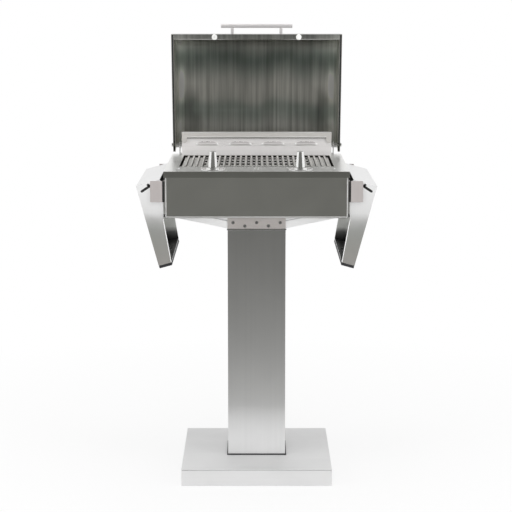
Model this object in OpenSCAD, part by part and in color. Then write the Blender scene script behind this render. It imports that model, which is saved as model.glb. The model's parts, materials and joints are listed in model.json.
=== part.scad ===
// Pedestal electric grill: a stainless body with a tilting hood and two folding side wings,
// carried by a column on a square base. Millimetres, +X to the right, -Y to the front, +Z up.
// The origin is the centre of the base's underside, and the hood is open.

/* [Base and column] */
// Side of the square base
base_w = 432; // [400:2:500]
// Height of the base cover
base_h = 48; // [42:1:70]
// Sheet thickness of the base cover
cover_t = 1.5; // [1:0.1:2.5]
// Thickness of the base plate
plate_t = 6; // [4:0.5:10]
// Distance between neighbouring anchor holes
anchor_pitch = 360; // [320:2:370]
// Diameter of the anchor holes
anchor_d = 13; // [9:0.5:16]
// Width of the column
column_w = 168; // [150:1:190]
// Depth of the column
column_d = 136; // [120:1:160]
// Wall of the column
column_t = 2; // [1.5:0.1:4]
// Thickness of the flange under the column
foot_t = 8; // [5:0.5:12]
// Thickness of the plate on top of the column
head_t = 3.5; // [2.5:0.1:5]
// Thickness of the gasket under the saddle
gasket_t = 2.5; // [1.5:0.1:4]

/* [Body] */
// Height of the deck above the ground
deck_z = 910; // [840:1:960]
// Width of the body
body_w = 512; // [490:1:560]
// How far the body's middle lies behind the column's middle
body_back = 3; // [-6:1:10]
// Height of the body, floor to deck
body_h = 131; // [122:1:150]
// Sheet thickness of the body
sheet_t = 1.5; // [1:0.1:2]
// Height of the deck's front lip
lip_h = 18; // [10:1:24]
// Drop of the saddle from the floor to the column
saddle_drop = 53; // [44:1:70]
// Height of the saddle's outer ends
saddle_end_h = 18; // [12:1:30]

/* [Cooking plate] */
// Width of the cooking plate
grate_w = 432; // [380:2:440]
// Depth of the cooking plate
grate_d = 290; // [260:2:330]
// Front edge of the plate, measured from the body's front
grate_from_front = 128; // [126:1:130]
// Depth of the body behind the cooking plate
rear_d = 52; // [50:1:70]
// Gap round the cooking plate
grate_gap = 5; // [3:0.5:7]
// Distance between neighbouring ribs
rib_pitch = 15.75; // [14:0.25:20]
// Height of the ribs
rib_h = 6; // [4:0.5:8]
// Width of the ribs
rib_w = 6; // [4:0.5:7]
// Thickness of the plate under the ribs
grate_t = 4; // [3:0.5:6]
// Slots in each column, front to back
slot_rows = 4; // [2:1:4]
// Length of a slot
slot_l = 38; // [20:1:46]
// Width of a slot
slot_w = 7; // [4:0.5:8]
// Depth of the firebox under the deck
firebox_h = 104; // [90:1:112]
// Diameter of the heating element
element_d = 8.5; // [6:0.5:10]
// Radius of the element's bends
element_r = 35; // [30:1:36]

/* [Rear baffle] */
// Height of the baffle above the deck
baffle_h = 71; // [60:1:80]
// Width of the baffle
baffle_w = 454; // [420:2:460]
// Number of louvre slots
louvre_n = 4; // [2:1:5]
// Length of a louvre slot
louvre_l = 63; // [40:1:70]

/* [Hood] */
// Width of the hood
hood_w = 508; // [500:1:512]
// How far the closed hood reaches in front of the cooking plate
hood_lap = 21; // [17:0.5:24]
// How far the closed hood's lip lies below the hinge
lip_drop = 23.5; // [20:0.5:24]
// Height of the closed hood's top above the hinge
hood_top = 130; // [115:1:160]
// Radius of the hood's front curve
hood_front_r = 105; // [80:1:115]
// Radius of the hood's rear curve
hood_rear_r = 100; // [70:1:110]
// Sheet thickness of the hood
hood_t = 1.5; // [1:0.1:2]
// Thickness of the hollow end caps
cap_w = 7.5; // [6:0.5:10]
// Width of the flange along the lip
lip_w = 16; // [12:0.5:20]
// Angle that the hood opens
hood_open = 78.4; // [60:0.2:84]
// Height of the hinge above the deck
hinge_up = 29; // [26:0.5:34]
// Distance of the hinge from the body's rear
hinge_in = 13; // [10:0.5:16]
// Diameter of the hinge bolts
hinge_d = 8; // [6:0.5:10]
// Length of the handle
handle_l = 213; // [180:1:215]
// Diameter of the handle
handle_d = 12; // [10:0.5:16]
// Distance between the handle's posts
post_pitch = 145; // [100:1:170]
// Distance from the hood's front to the handle's middle
handle_out = 24; // [18:0.5:28]

/* [Knobs] */
// Distance of each knob from the middle of the deck
knob_x = 122.5; // [110:0.5:150]
// Distance of the knobs from the body's front
knob_y = 52; // [46:0.5:60]
// Height of a knob
knob_h = 45; // [30:0.5:50]
// Diameter at the foot of a knob
knob_foot_d = 27; // [22:0.5:32]
// Diameter at the top of a knob
knob_top_d = 18; // [14:0.5:21]
// Diameter of the round bezel under a knob
bezel_d = 70; // [44:1:76]
// Diameter of the spindle
spindle_d = 6; // [5:0.5:8]

/* [Wings] */
// Length of a wing from its bend to its foot
wing_l = 233; // [200:1:250]
// Width of a wing at its top
wing_top_w = 68; // [62:0.5:68]
// Width of a wing at its foot
wing_foot_w = 37; // [30:0.5:44]
// How far a wing's rear lies in front of the body's rear
wing_rear_in = 44; // [30:1:120]
// How far a wing's front lies behind the body's front
wing_back = 6; // [5.5:0.5:10]
// Distance of the bend from the body's side
wing_out = 80; // [80:0.5:90]
// Distance of the bend below the deck
wing_down = 42; // [40:0.5:50]
// Lean of the hanging wing
wing_lean = 15.3; // [12:0.1:18]
// Distance of the pivot from the body's side
pivot_out = 31; // [31:0.25:35]
// Distance of the pivot below the deck
pivot_down = 45; // [42:0.5:48]
// Diameter of the pivot pins
pivot_d = 5; // [4:0.5:6]
// Thickness of the rubber foot
wing_foot_t = 8; // [4:0.5:12]
// Thickness of the wing brackets
bracket_t = 2.5; // [2:0.1:2.5]
// Width of a wing bracket
bracket_w = 40; // [39:0.5:46]
// Height of a wing bracket
bracket_h = 59; // [44:1:64]

/* [Hidden] */

$fn = 64;

steel = [0.76, 0.76, 0.75];
dark_steel = [0.44, 0.45, 0.43];
polished = [0.86, 0.86, 0.86];
black = [0.06, 0.06, 0.06];
brass = [0.78, 0.62, 0.32];
ceramic = [0.92, 0.9, 0.85];
eps = 0.01;
slide_gap = 0.1;
soft_gap = 0.3;

// Stand
foot_margin = 26;
foot_bolt_d = 10;
foot_bolt_in = 11;
head_margin = 2;
head_bolt_d = 8;
head_bolt_in = 24;
head_bolt_tail = 12;
bolt_head = 0.7;
nut = 0.8;
cable_hole_d = 36;
seal_h = 3.5;
seal_w = 3;
floor_z = deck_z - body_h;
saddle_z = floor_z - saddle_drop;
column_z0 = plate_t + foot_t;
column_z1 = saddle_z - gasket_t - head_t;
saddle_t = 2;
saddle_d = column_d + 8;
saddle_flange = 20;
saddle_bolt_d = 6;
neck_t = 2.5;
neck_screw_d = 5;
neck_pitch = 68;
neck_rise = 10;

// Body
body_d = grate_from_front + grate_d + rear_d;
x1 = body_w / 2;
y0 = body_back - body_d / 2;
y1 = body_back + body_d / 2;
side_gap = 0.5;
deck_over = 2.5;
grate_y0 = y0 + grate_from_front;
grate_y1 = grate_y0 + grate_d;
open_x = grate_w / 2 + grate_gap;
open_y0 = grate_y0 - grate_gap;
open_y1 = grate_y1 + grate_gap;
firebox_t = 1.2;
ledge_w = 12;
rib_end = 3;
slot_end = 8;
tray_in = 14;
tray_h = 24;
tray_t = 1.2;
grate_z0 = deck_z - rib_h - grate_t;
firebox_z0 = deck_z - sheet_t - firebox_h;
element_z = grate_z0 - element_d / 2 - 10;
element_x = 5 * element_r;
gland_d = 13.6;
gland_flange_d = 20;
gland_flange = 5;
bar_t = 3;
bar_h = 8;
bar_in = 93;
shield_y = open_y0 - 14;
shield_t = 1.2;
regulator_w = 38;
regulator_h = 40;
spindle_gap = 0.1;
terminal_w = 90;
terminal_z1 = floor_z + sheet_t + 22;
wire_d = 4;
inlet_x = 150;
inlet_z = floor_z + 50;
inlet_w = 50;
inlet_h = 32;
indicator_y = y0 + 62;
indicator_d = 12;

// Baffle
baffle_y = open_y1 + 2;
baffle_z1 = deck_z + baffle_h;
louvre_pitch = 100;
rail_h = 17;
rail_d = 16;
rail_front = 5;
rail_lip = 8;
tab_w = 8;

// Hood
hinge_y = y1 - hinge_in;
hinge_z = deck_z + hinge_up;
hood_reach = grate_d + rear_d - hinge_in + hood_lap;
cap_x1 = hood_w / 2;
cap_x0 = cap_x1 - cap_w;
face_lean = 90 - hood_open;
face_dir = [sin(face_lean), cos(face_lean)];
face_out = [-cos(face_lean), sin(face_lean)];
face_z1 = hood_top - hood_front_r * (1 - sin(face_lean));
face_l = (face_z1 + lip_drop) / cos(face_lean);
lip_a = [-hood_reach, -lip_drop];
face_b = lip_a + face_l * face_dir;
front_c = face_b - hood_front_r * face_out;
hood_rear = 15;
rear_c = [hood_rear - hood_rear_r, hood_top - hood_rear_r];
rear_edge = 20;
cap_flank = 1.3;
bumper_d = 16;
bumper_x = 125;
bumper_h = hinge_up - lip_drop - soft_gap;
ear_x0 = cap_x0 - 14;
ear_t = 3;
ear_r = 13;
ear_foot_w = 12;
hinge_head_h = 4.5;
hinge_head_d = 13;
spacer_d = 14;

// Knobs
bezel_t = 2;
collar_d = knob_foot_d + 10;
collar_h = 3;
knob_z0 = deck_z + bezel_t + collar_h + 0.6;
knob_cy = y0 + knob_y;
spindle_z0 = deck_z - sheet_t - 22;
spindle_z1 = knob_z0 + knob_h - 10;

// Wings
bend_x = x1 + wing_out;
bend_z = deck_z - wing_down;
pivot_x = x1 + pivot_out;
pivot_z = deck_z - pivot_down;
pivot_r = pivot_out - bracket_t - 1.5;
wing_y0 = y0 + wing_back;
wing_y1 = y1 - wing_rear_in;
wing_t = 1.5;
slot_d = pivot_d + 2 * slide_gap;
bracket_gap = 3;
bracket_leg = 30;
bracket_z1 = deck_z - 27;
washer_t = bracket_gap - 2 * soft_gap;
hang_hole_d = 18;

// Helpers
module box(a, b) {
    translate(a) cube(b - a);
}

module both_sides() {
    children();
    mirror([1, 0, 0]) children();
}

module x_rod(d, xa, xb, sides = 64) {
    translate([xa, 0, 0]) rotate([0, 90, 0]) cylinder(h = xb - xa, d = d, $fn = sides);
}

module y_rod(d, ya, yb, sides = 64) {
    translate([0, ya, 0]) rotate([-90, 0, 0]) cylinder(h = yb - ya, d = d, $fn = sides);
}

// Extrudes a profile drawn in (y, z) from x = xa to x = xb
module along_x(xa, xb) {
    translate([xa, 0, 0]) rotate([90, 0, 90]) linear_extrude(xb - xa) children();
}

// Extrudes a profile drawn in (x, z) from y = ya to y = yb
module along_y(ya, yb) {
    translate([0, yb, 0]) rotate([90, 0, 0]) linear_extrude(yb - ya) children();
}

module at_corners(dx, dy) {
    for (x = [-dx, dx], y = [-dy, dy]) translate([x, y, 0]) children();
}

// Points of an arc about c from angle a to angle b
function arc(c, r, a, b, n = 32) = [for (i = [0:n]) let (t = a + (b - a) * i / n)
    c + r * [cos(t), sin(t)]];

// A slot drawn along y
module slot_2d(l, w) {
    square([w, l - w], center = true);
    for (s = [-1, 1]) translate([0, s * (l - w) / 2]) circle(d = w, $fn = 24);
}

// Cuts the corners of a path once
function cut_corners(p) = concat(
    [p[0]],
    [for (i = [0:len(p) - 2], t = [0.25, 0.75]) p[i] * (1 - t) + p[i + 1] * t],
    [p[len(p) - 1]]
);

// Direction of a path at its point i
function heading(p, i) = let (
    v = p[min(i + 1, len(p) - 1)] - p[max(i - 1, 0)]
) v / norm(v);

// One ring of a tube, square to the path; no path here runs along the slant
function ring(p, i, r, n) = let (
    slant = [1, 2, 3],
    t = heading(p, i),
    u = cross(t, slant) / norm(cross(t, slant)),
    v = cross(t, u)
) [for (k = [0:n - 1]) p[i] + r * cos(360 * k / n) * u + r * sin(360 * k / n) * v];

// A wire of diameter d along a list of points, with its corners rounded
module wire(route, d) {
    n = 8;
    p = cut_corners(cut_corners(route));
    m = len(p);
    polyhedron(
        points = [for (i = [0:m - 1]) each ring(p, i, d / 2, n)],
        faces = concat(
            [[for (k = [0:n - 1]) k]],
            [for (i = [0:m - 2], k = [0:n - 1])
                [i * n + k, (i + 1) * n + k, (i + 1) * n + (k + 1) % n, i * n + (k + 1) % n]],
            [[for (k = [n - 1:-1:0]) (m - 1) * n + k]]
        )
    );
}

// Stand
module base_plate() {
    w = base_w / 2 - cover_t - 1;
    color(dark_steel) difference() {
        box([-w, -w, 0], [w, w, plate_t]);
        at_corners(anchor_pitch / 2, anchor_pitch / 2)
            translate([0, 0, -1]) cylinder(h = plate_t + 2, d = anchor_d);
        foot_holes();
    }
}

module foot_holes() {
    at_corners(column_w / 2 + foot_bolt_in, column_d / 2 + foot_bolt_in)
        translate([0, 0, -1]) cylinder(h = column_z0 + 2, d = foot_bolt_d + 0.4);
}

module base_cover() {
    w = base_w / 2;
    cw = column_w / 2 + 1;
    cd = column_d / 2 + 1;
    color(steel) difference() {
        box([-w, -w, 0], [w, w, base_h]);
        box([-w + cover_t, -w + cover_t, -1], [w - cover_t, w - cover_t, base_h - cover_t]);
        box([-cw, -cd, 0], [cw, cd, base_h + 1]);
    }
}

module column_seal() {
    a = [column_w / 2 + 0.2, column_d / 2 + 0.2];
    b = a + [seal_w, seal_w];
    color(black) difference() {
        box([-b[0], -b[1], base_h], [b[0], b[1], base_h + seal_h]);
        box([-a[0], -a[1], base_h - 1], [a[0], a[1], base_h + seal_h + 1]);
    }
}

module column_foot() {
    w = column_w / 2 + foot_margin;
    d = column_d / 2 + foot_margin;
    color(dark_steel) difference() {
        box([-w, -d, plate_t], [w, d, column_z0]);
        foot_holes();
        cylinder(h = column_z0 + 1, d = cable_hole_d);
    }
}

module foot_bolts() {
    color(polished) at_corners(column_w / 2 + foot_bolt_in, column_d / 2 + foot_bolt_in) {
        translate([0, 0, 0.5]) cylinder(h = column_z0 - 0.5 + eps, d = foot_bolt_d);
        translate([0, 0, column_z0]) cylinder(h = 2, d = foot_bolt_d * 2);
        translate([0, 0, column_z0 + 2 - eps]) cylinder(h = 6.5, d = foot_bolt_d * 1.8, $fn = 6);
    }
}

module column() {
    w = column_w / 2;
    d = column_d / 2;
    color(steel) difference() {
        box([-w, -d, column_z0], [w, d, column_z1]);
        box([-w + column_t, -d + column_t, 0], [w - column_t, d - column_t, column_z1 + 1]);
    }
}

module head_holes() {
    at_corners(column_w / 2 - head_bolt_in, column_d / 2 - head_bolt_in)
        translate([0, 0, column_z1 - 1]) cylinder(h = 30, d = head_bolt_d + 0.4);
    translate([0, 0, column_z1 - 1]) cylinder(h = 30, d = cable_hole_d);
}

module column_head() {
    w = column_w / 2 + head_margin;
    d = column_d / 2 + head_margin;
    color(polished) difference() {
        box([-w, -d, column_z1], [w, d, column_z1 + head_t]);
        head_holes();
    }
}

module head_gasket() {
    w = column_w / 2;
    d = column_d / 2;
    color(black) difference() {
        box([-w, -d, saddle_z - gasket_t], [w, d, saddle_z]);
        head_holes();
    }
}

module head_bolts() {
    top = saddle_z + saddle_t;
    low = column_z1 - head_bolt_tail;
    color(polished) at_corners(column_w / 2 - head_bolt_in, column_d / 2 - head_bolt_in) {
        translate([0, 0, low]) cylinder(h = top - low + eps, d = head_bolt_d);
        translate([0, 0, top]) cylinder(h = head_bolt_d * bolt_head, d = head_bolt_d * 1.8, $fn = 6);
        translate([0, 0, column_z1 - head_bolt_d * nut])
            cylinder(h = head_bolt_d * nut, d = head_bolt_d * 1.8, $fn = 6);
    }
}

// V-shaped section of the saddle, drawn in by t
module saddle_2d(t) {
    a = column_w / 2 + head_margin;
    b = x1 - 2 - t;
    polygon([
        [-b, floor_z + 1], [-b, floor_z - saddle_end_h + t], [-a, saddle_z + t],
        [a, saddle_z + t], [b, floor_z - saddle_end_h + t], [b, floor_z + 1]
    ]);
}

module saddle() {
    d = saddle_d / 2;
    color(steel) difference() {
        union() {
            along_y(-d, d) saddle_2d(0);
            box([-x1 + 20, -d - saddle_flange, floor_z - saddle_t],
                [x1 - 20, d + saddle_flange, floor_z]);
        }
        along_y(-d + saddle_t, d - saddle_t) saddle_2d(saddle_t);
        box([-body_w, -body_d, floor_z], [body_w, body_d, floor_z + 10]);
        head_holes();
        neck_holes();
        saddle_holes();
    }
}

module saddle_holes() {
    at_corners(x1 - 80, saddle_d / 2 + saddle_flange / 2)
        translate([0, 0, floor_z - 10]) cylinder(h = 20, d = saddle_bolt_d + 0.4);
}

module saddle_bolts() {
    color(polished) at_corners(x1 - 80, saddle_d / 2 + saddle_flange / 2) {
        translate([0, 0, floor_z - saddle_t - 8])
            cylinder(h = saddle_t + 8 + sheet_t + eps, d = saddle_bolt_d);
        translate([0, 0, floor_z + sheet_t]) cylinder(h = 4, d = saddle_bolt_d * 1.8, $fn = 6);
        translate([0, 0, floor_z - saddle_t - 5]) cylinder(h = 5, d = saddle_bolt_d * 1.8, $fn = 6);
    }
}

// Places of the neck screws: three above, two below
module neck_points() {
    lower_z = saddle_z + saddle_t + neck_screw_d;
    upper_z = lower_z + neck_rise;
    for (i = [-1:1]) translate([i * neck_pitch, 0, upper_z]) children();
    for (i = [-0.5, 0.5]) translate([i * neck_pitch, 0, lower_z]) children();
}

module neck_holes() {
    neck_points() y_rod(neck_screw_d + 0.2, -body_d, body_d, 32);
}

module neck_plates() {
    w = column_w / 2;
    d = saddle_d / 2;
    color(steel) difference() {
        for (s = [-1, 1])
            box([-w, s > 0 ? d : -d - neck_t, saddle_z - 1], [w, s > 0 ? d + neck_t : -d, floor_z - saddle_t]);
        neck_holes();
    }
}

module neck_screws() {
    d = saddle_d / 2;
    color(polished) for (a = [0, 180]) rotate([0, 0, a]) neck_points() {
        y_rod(neck_screw_d, -d - neck_t - eps, -d + 8, 32);
        y_rod(neck_screw_d * 1.9, -d - neck_t - 1.8, -d - neck_t, 32);
    }
}

// Body
module body_tub() {
    color(steel) difference() {
        box([-x1, y0, floor_z], [x1, y1, deck_z - sheet_t]);
        box([-x1 + sheet_t, y0 - 1, floor_z + sheet_t], [x1 - sheet_t, y1 + 1, deck_z]);
        saddle_holes();
        translate([0, 0, floor_z - 1]) cylinder(h = 5, d = cable_hole_d);
        both_sides() wing_side() bracket_holes();
        for (i = [-5:5], y = [y0 + 60, y1 - 60]) translate([i * 26, y, floor_z - 1])
            linear_extrude(5) slot_2d(44, 7);
    }
}

module front_panel() {
    w = x1 - sheet_t - side_gap;
    z0 = floor_z + sheet_t + 0.3;
    z1 = deck_z - sheet_t - 0.3;
    color(steel) {
        box([-w, y0, z0], [w, y0 + sheet_t, z1]);
        box([-w, y0 + sheet_t - eps, z0], [w, y0 + 14, z0 + sheet_t]);
        box([-w, y0 + sheet_t - eps, z1 - sheet_t], [w, y0 + 14, z1]);
    }
}

module rear_panel() {
    w = x1 - sheet_t - side_gap;
    z0 = floor_z + sheet_t + 0.3;
    z1 = deck_z - sheet_t - 0.3;
    color(steel) difference() {
        union() {
            box([-w, y1 - sheet_t, z0], [w, y1, z1]);
            box([-w, y1 - 14, z0], [w, y1 - sheet_t + eps, z0 + sheet_t]);
            box([-w, y1 - 14, z1 - sheet_t], [w, y1 - sheet_t + eps, z1]);
        }
        box([inlet_x - inlet_w / 2, y1 - 5, inlet_z - inlet_h / 2],
            [inlet_x + inlet_w / 2, y1 + 1, inlet_z + inlet_h / 2]);
        for (i = [-6:3]) translate([i * 24, 0, floor_z + 62])
            along_y(y1 - 3, y1 + 1) slot_2d(50, 7);
        both_sides() ear_screw_points() translate([0, 0, -5]) cylinder(h = 10, d = 4.4, $fn = 32);
    }
}

module deck() {
    w = x1 + deck_over;
    f = y0 - 2;
    r = y1 + 2;
    color(steel) difference() {
        union() {
            box([-w, f, deck_z - sheet_t], [w, r, deck_z]);
            box([-w, f, deck_z - lip_h], [w, f + sheet_t, deck_z - eps]);
            box([-w, r - sheet_t, deck_z - 10], [w, r, deck_z - eps]);
            both_sides() box([w - sheet_t, f, deck_z - 8], [w, r, deck_z - eps]);
        }
        box([-open_x, open_y0, deck_z - 5], [open_x, open_y1, deck_z + 1]);
        both_sides() translate([knob_x, knob_cy, deck_z - 5]) cylinder(h = 10, d = spindle_d + 4);
        translate([0, indicator_y, deck_z - 5]) cylinder(h = 10, d = indicator_d - 2);
        deck_screw_points() translate([0, 0, -5]) cylinder(h = 10, d = 4.4, $fn = 32);
        both_sides() ear_screw_points() translate([0, 0, -5]) cylinder(h = 10, d = 4.4, $fn = 32);
    }
}

// The rear pair lies clear of the hinge brackets' feet
module deck_screw_points() {
    for (s = [-1, 1]) {
        translate([s * (open_x - 3), y0 + 72, deck_z]) children();
        translate([s * (ear_x0 - ear_foot_w - 9), y1 - 24, deck_z]) children();
    }
}

// Screws through a hinge bracket's foot, from the foot's underside
module ear_screw_points() {
    for (y = [-7, 7]) translate([ear_x0 - ear_foot_w / 2, hinge_y + y, deck_z]) children();
}

module deck_screw() {
    translate([0, 0, -8]) cylinder(h = 8 + eps, d = 4, $fn = 32);
    intersection() {
        translate([0, 0, -4.2]) sphere(d = 12);
        cylinder(h = 3, d = 9);
    }
}

module deck_screws() {
    color(polished) {
        deck_screw_points() deck_screw();
        both_sides() ear_screw_points() translate([0, 0, ear_t]) deck_screw();
    }
}

module firebox() {
    wall_x = open_x + 2;
    f = open_y0 - 2;
    r = open_y1 + 2;
    top = deck_z - sheet_t;
    color(dark_steel) difference() {
        union() {
            difference() {
                box([-wall_x, f, firebox_z0], [wall_x, r, top]);
                box([-wall_x + firebox_t, f + firebox_t, firebox_z0 + firebox_t],
                    [wall_x - firebox_t, r - firebox_t, top + 1]);
            }
            for (y = [f + firebox_t - eps, r - firebox_t - ledge_w + eps])
                box([-wall_x + 0.5, y, grate_z0 - 1.5], [wall_x - 0.5, y + ledge_w, grate_z0]);
        }
        both_sides() translate([element_x, 0, element_z]) y_rod(gland_d + 0.4, f - 1, f + 4);
    }
}

module cooking_plate() {
    n = floor((grate_w / 2 - rib_w / 2) / rib_pitch);
    slot_n = floor(160 / rib_pitch);
    row_pitch = (grate_d - 2 * (ledge_w + slot_end) - slot_l) / (slot_rows - 1);
    mid_y = (grate_y0 + grate_y1) / 2;
    color(dark_steel) {
        translate([0, 0, grate_z0]) linear_extrude(grate_t) difference() {
            translate([-grate_w / 2, grate_y0]) square([grate_w, grate_d]);
            for (i = [-slot_n:slot_n - 1], j = [0:slot_rows - 1])
                translate([(i + 0.5) * rib_pitch, mid_y + (j - (slot_rows - 1) / 2) * row_pitch])
                    slot_2d(slot_l, slot_w);
        }
        for (i = [-n:n])
            box([i * rib_pitch - rib_w / 2, grate_y0 + rib_end, deck_z - rib_h - eps],
                [i * rib_pitch + rib_w / 2, grate_y1 - rib_end, deck_z]);
    }
}

// Tube of the heating element: runs front to back joined by half-circle bends
module heating_element() {
    front = open_y0 + 46;
    rear = open_y1 - 46;
    color(dark_steel) translate([0, 0, element_z]) {
        for (i = [-5:2:5]) translate([i * element_r, 0, 0])
            y_rod(element_d, abs(i) == 5 ? shield_y - 22 : front, rear, 32);
        for (i = [-4, 0, 4]) translate([i * element_r, rear, 0]) element_bend();
        for (i = [-2, 2]) translate([i * element_r, front, 0]) rotate([0, 0, 180]) element_bend();
    }
}

module element_bend() {
    rotate_extrude(angle = 180) translate([element_r, 0]) circle(d = element_d, $fn = 32);
}

module element_bars() {
    x = open_x + 2 - firebox_t;
    z1 = element_z - element_d / 2;
    color(dark_steel) for (y = [grate_y0 + bar_in, grate_y1 - bar_in - bar_t])
        box([-x, y, z1 - bar_h], [x, y + bar_t, z1]);
}

module element_glands() {
    f = open_y0 - 2;
    color(ceramic) both_sides() translate([element_x, 0, element_z]) difference() {
        union() {
            y_rod(gland_d, f - eps, f + firebox_t, 32);
            y_rod(gland_flange_d, f - gland_flange, f, 32);
        }
        y_rod(element_d + 0.1, f - gland_flange - 1, f + 6, 32);
    }
}

module drip_tray() {
    x = open_x - tray_in;
    f = open_y0 + tray_in;
    r = open_y1 - tray_in;
    t = tray_t;
    z0 = firebox_z0 + firebox_t;
    color(steel) difference() {
        box([-x, f, z0], [x, r, z0 + tray_h]);
        box([-x + t, f + t, z0 + t], [x - t, r - t, z0 + tray_h + 1]);
    }
}

module heat_shield() {
    x = x1 - sheet_t - side_gap;
    color(steel) difference() {
        union() {
            box([-x, shield_y, floor_z + sheet_t], [x, shield_y + shield_t, deck_z - sheet_t - 2]);
            box([-x, shield_y - 12, floor_z + sheet_t], [x, shield_y + eps, floor_z + sheet_t + shield_t]);
        }
        both_sides() translate([element_x, 0, element_z]) y_rod(element_d + 6, shield_y - 3, shield_y + 5);
        translate([0, 0, floor_z + sheet_t + 10]) y_rod(12, shield_y - 3, shield_y + 5);
    }
}

module regulators() {
    top = deck_z - sheet_t;
    w = regulator_w / 2;
    color(black) both_sides() translate([knob_x, knob_cy, 0]) difference() {
        union() {
            box([-w, -w, top - regulator_h], [w, w, top - 6]);
            translate([0, 0, top - 6 - eps]) cylinder(h = 6 + eps, d = spindle_d + 8);
        }
        translate([0, 0, spindle_z0 - 0.5]) cylinder(h = 60, d = spindle_d + 2 * spindle_gap);
    }
}

module terminal_block() {
    y = knob_cy;
    color(ceramic) difference() {
        box([-terminal_w / 2, y - 14, floor_z + sheet_t], [terminal_w / 2, y + 14, terminal_z1]);
        for (i = [-3:3]) translate([i * 12, y, terminal_z1 - 8]) cylinder(h = 10, d = 6, $fn = 32);
    }
}

module wires() {
    block_y = knob_cy;
    low = floor_z + sheet_t + 10;
    gap = 0.2;
    reg_z = deck_z - sheet_t - regulator_h + 12;
    color(black) {
        both_sides() {
            // Block to regulator
            wire([[terminal_w / 2 + gap, block_y, low], [terminal_w / 2 + 18, block_y, low],
                  [knob_x - regulator_w / 2 - 16, block_y, reg_z],
                  [knob_x - regulator_w / 2 - gap, block_y, reg_z]], wire_d);
            // Regulator to the element's terminal
            wire([[knob_x + regulator_w / 2 + gap, block_y, reg_z], [element_x, block_y, reg_z],
                  [element_x, shield_y - 34, element_z], [element_x, shield_y - 22 - gap, element_z]],
                 wire_d);
        }
        // Block to indicator
        wire([[0, block_y, terminal_z1 + gap], [0, indicator_y, terminal_z1 + 30],
              [0, indicator_y, deck_z - sheet_t - 12 - gap]], wire_d);
        // Supply from the inlet to the block, under the firebox
        wire([[inlet_x, y1 - 22 - gap, inlet_z], [inlet_x, y1 - 31, inlet_z],
              [inlet_x, y1 - 33, low], [inlet_x - 20, y1 - 44, low], [0, open_y0 + 60, low],
              [0, shield_y - 4, low], [0, block_y + 14 + gap, low]], 2 * wire_d);
    }
}

module indicator_bezel() {
    d = indicator_d;
    color(polished) translate([0, indicator_y, deck_z]) difference() {
        union() {
            cylinder(h = 1.6, d = d);
            translate([0, 0, -12 - sheet_t]) cylinder(h = 12 + sheet_t + eps, d = d - 2.4);
        }
        translate([0, 0, -9]) cylinder(h = 20, d = d - 5);
    }
}

module indicator_lens() {
    d = indicator_d - 5.2;
    color([0.95, 0.95, 0.9]) translate([0, indicator_y, deck_z]) {
        translate([0, 0, -9]) cylinder(h = 10.4 + eps, d = d, $fn = 48);
        translate([0, 0, 1.4]) intersection() {
            translate([0, 0, 2.2 - d * 0.75]) sphere(r = d * 0.75, $fn = 48);
            cylinder(h = 3, d = d, $fn = 48);
        }
    }
}

module power_inlet() {
    w = inlet_w / 2;
    h = inlet_h / 2;
    color(black) translate([inlet_x, 0, inlet_z]) difference() {
        union() {
            box([-w - 4, y1, -h - 4], [w + 4, y1 + 1.9, h + 4]);
            box([-w + 0.4, y1 - 22, -h + 0.4], [w - 0.4, y1 + eps, h - 0.4]);
        }
        box([-w + 5, y1 - 16, -h + 5], [w - 5, y1 + 5, h - 5]);
    }
}

module inlet_pins() {
    color(brass) translate([inlet_x, 0, inlet_z]) for (p = [[-12, -2], [0, 3], [12, -2]])
        box([p[0] - 1, y1 - 16, p[1] - 2.5], [p[0] + 1, y1 - 3, p[1] + 2.5]);
}

// Rear baffle and rail
module rear_baffle() {
    w = baffle_w / 2;
    slot_z = deck_z + 33;
    color(steel) difference() {
        union() {
            box([-w, baffle_y, deck_z], [w, baffle_y + sheet_t, baffle_z1 - sheet_t]);
            box([-w, baffle_y + sheet_t - eps, deck_z], [w, baffle_y + 14, deck_z + sheet_t]);
        }
        for (i = [0:louvre_n - 1]) translate([(i - (louvre_n - 1) / 2) * louvre_pitch, 0, slot_z])
            along_y(baffle_y - 1, baffle_y + 5) rotate(90) slot_2d(louvre_l, 6);
    }
}

module rear_rail() {
    w = baffle_w / 2;
    f = baffle_y - rail_front;
    top = baffle_z1;
    color(steel) {
        box([-w, f, top - rail_h], [w, f + sheet_t, top]);
        box([-w, f, top - sheet_t], [w, baffle_y + rail_d, top]);
        box([-w, baffle_y + rail_d - sheet_t, top - rail_lip], [w, baffle_y + rail_d, top]);
        both_sides() along_y(f, f + sheet_t) translate([w - tab_w, top - rail_h - tab_w]) {
            square([tab_w, rail_h]);
            circle(r = tab_w);
            translate([-tab_w, 0]) square([tab_w, tab_w + 0.5]);
        }
    }
}

module hinge_brackets() {
    color(steel) both_sides() difference() {
        union() {
            along_x(ear_x0, ear_x0 + ear_t) {
                translate([hinge_y, hinge_z]) circle(r = ear_r);
                translate([hinge_y - ear_r, deck_z]) square([ear_r * 2, hinge_up]);
            }
            box([ear_x0 - ear_foot_w, hinge_y - ear_r, deck_z],
                [ear_x0 + eps, hinge_y + ear_r, deck_z + ear_t]);
        }
        translate([0, hinge_y, hinge_z]) x_rod(hinge_d + 0.2, ear_x0 - 5, ear_x0 + 10);
        ear_screw_points() translate([0, 0, -1]) cylinder(h = ear_t + 2, d = 4.4, $fn = 32);
    }
}

module hinge_bolts() {
    color(polished) both_sides() translate([0, hinge_y, hinge_z]) {
        x_rod(hinge_d, ear_x0 - 11, cap_x1 + 0.5 + eps);
        x_rod(hinge_head_d, cap_x1 + 0.5, cap_x1 + 0.5 + hinge_head_h);
    }
}

module hinge_nuts() {
    color(polished) both_sides() translate([0, hinge_y, hinge_z]) difference() {
        x_rod(hinge_d * 1.7, ear_x0 - 6.5, ear_x0, 6);
        x_rod(hinge_d + 0.1, ear_x0 - 8, ear_x0 + 1);
    }
}

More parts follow.
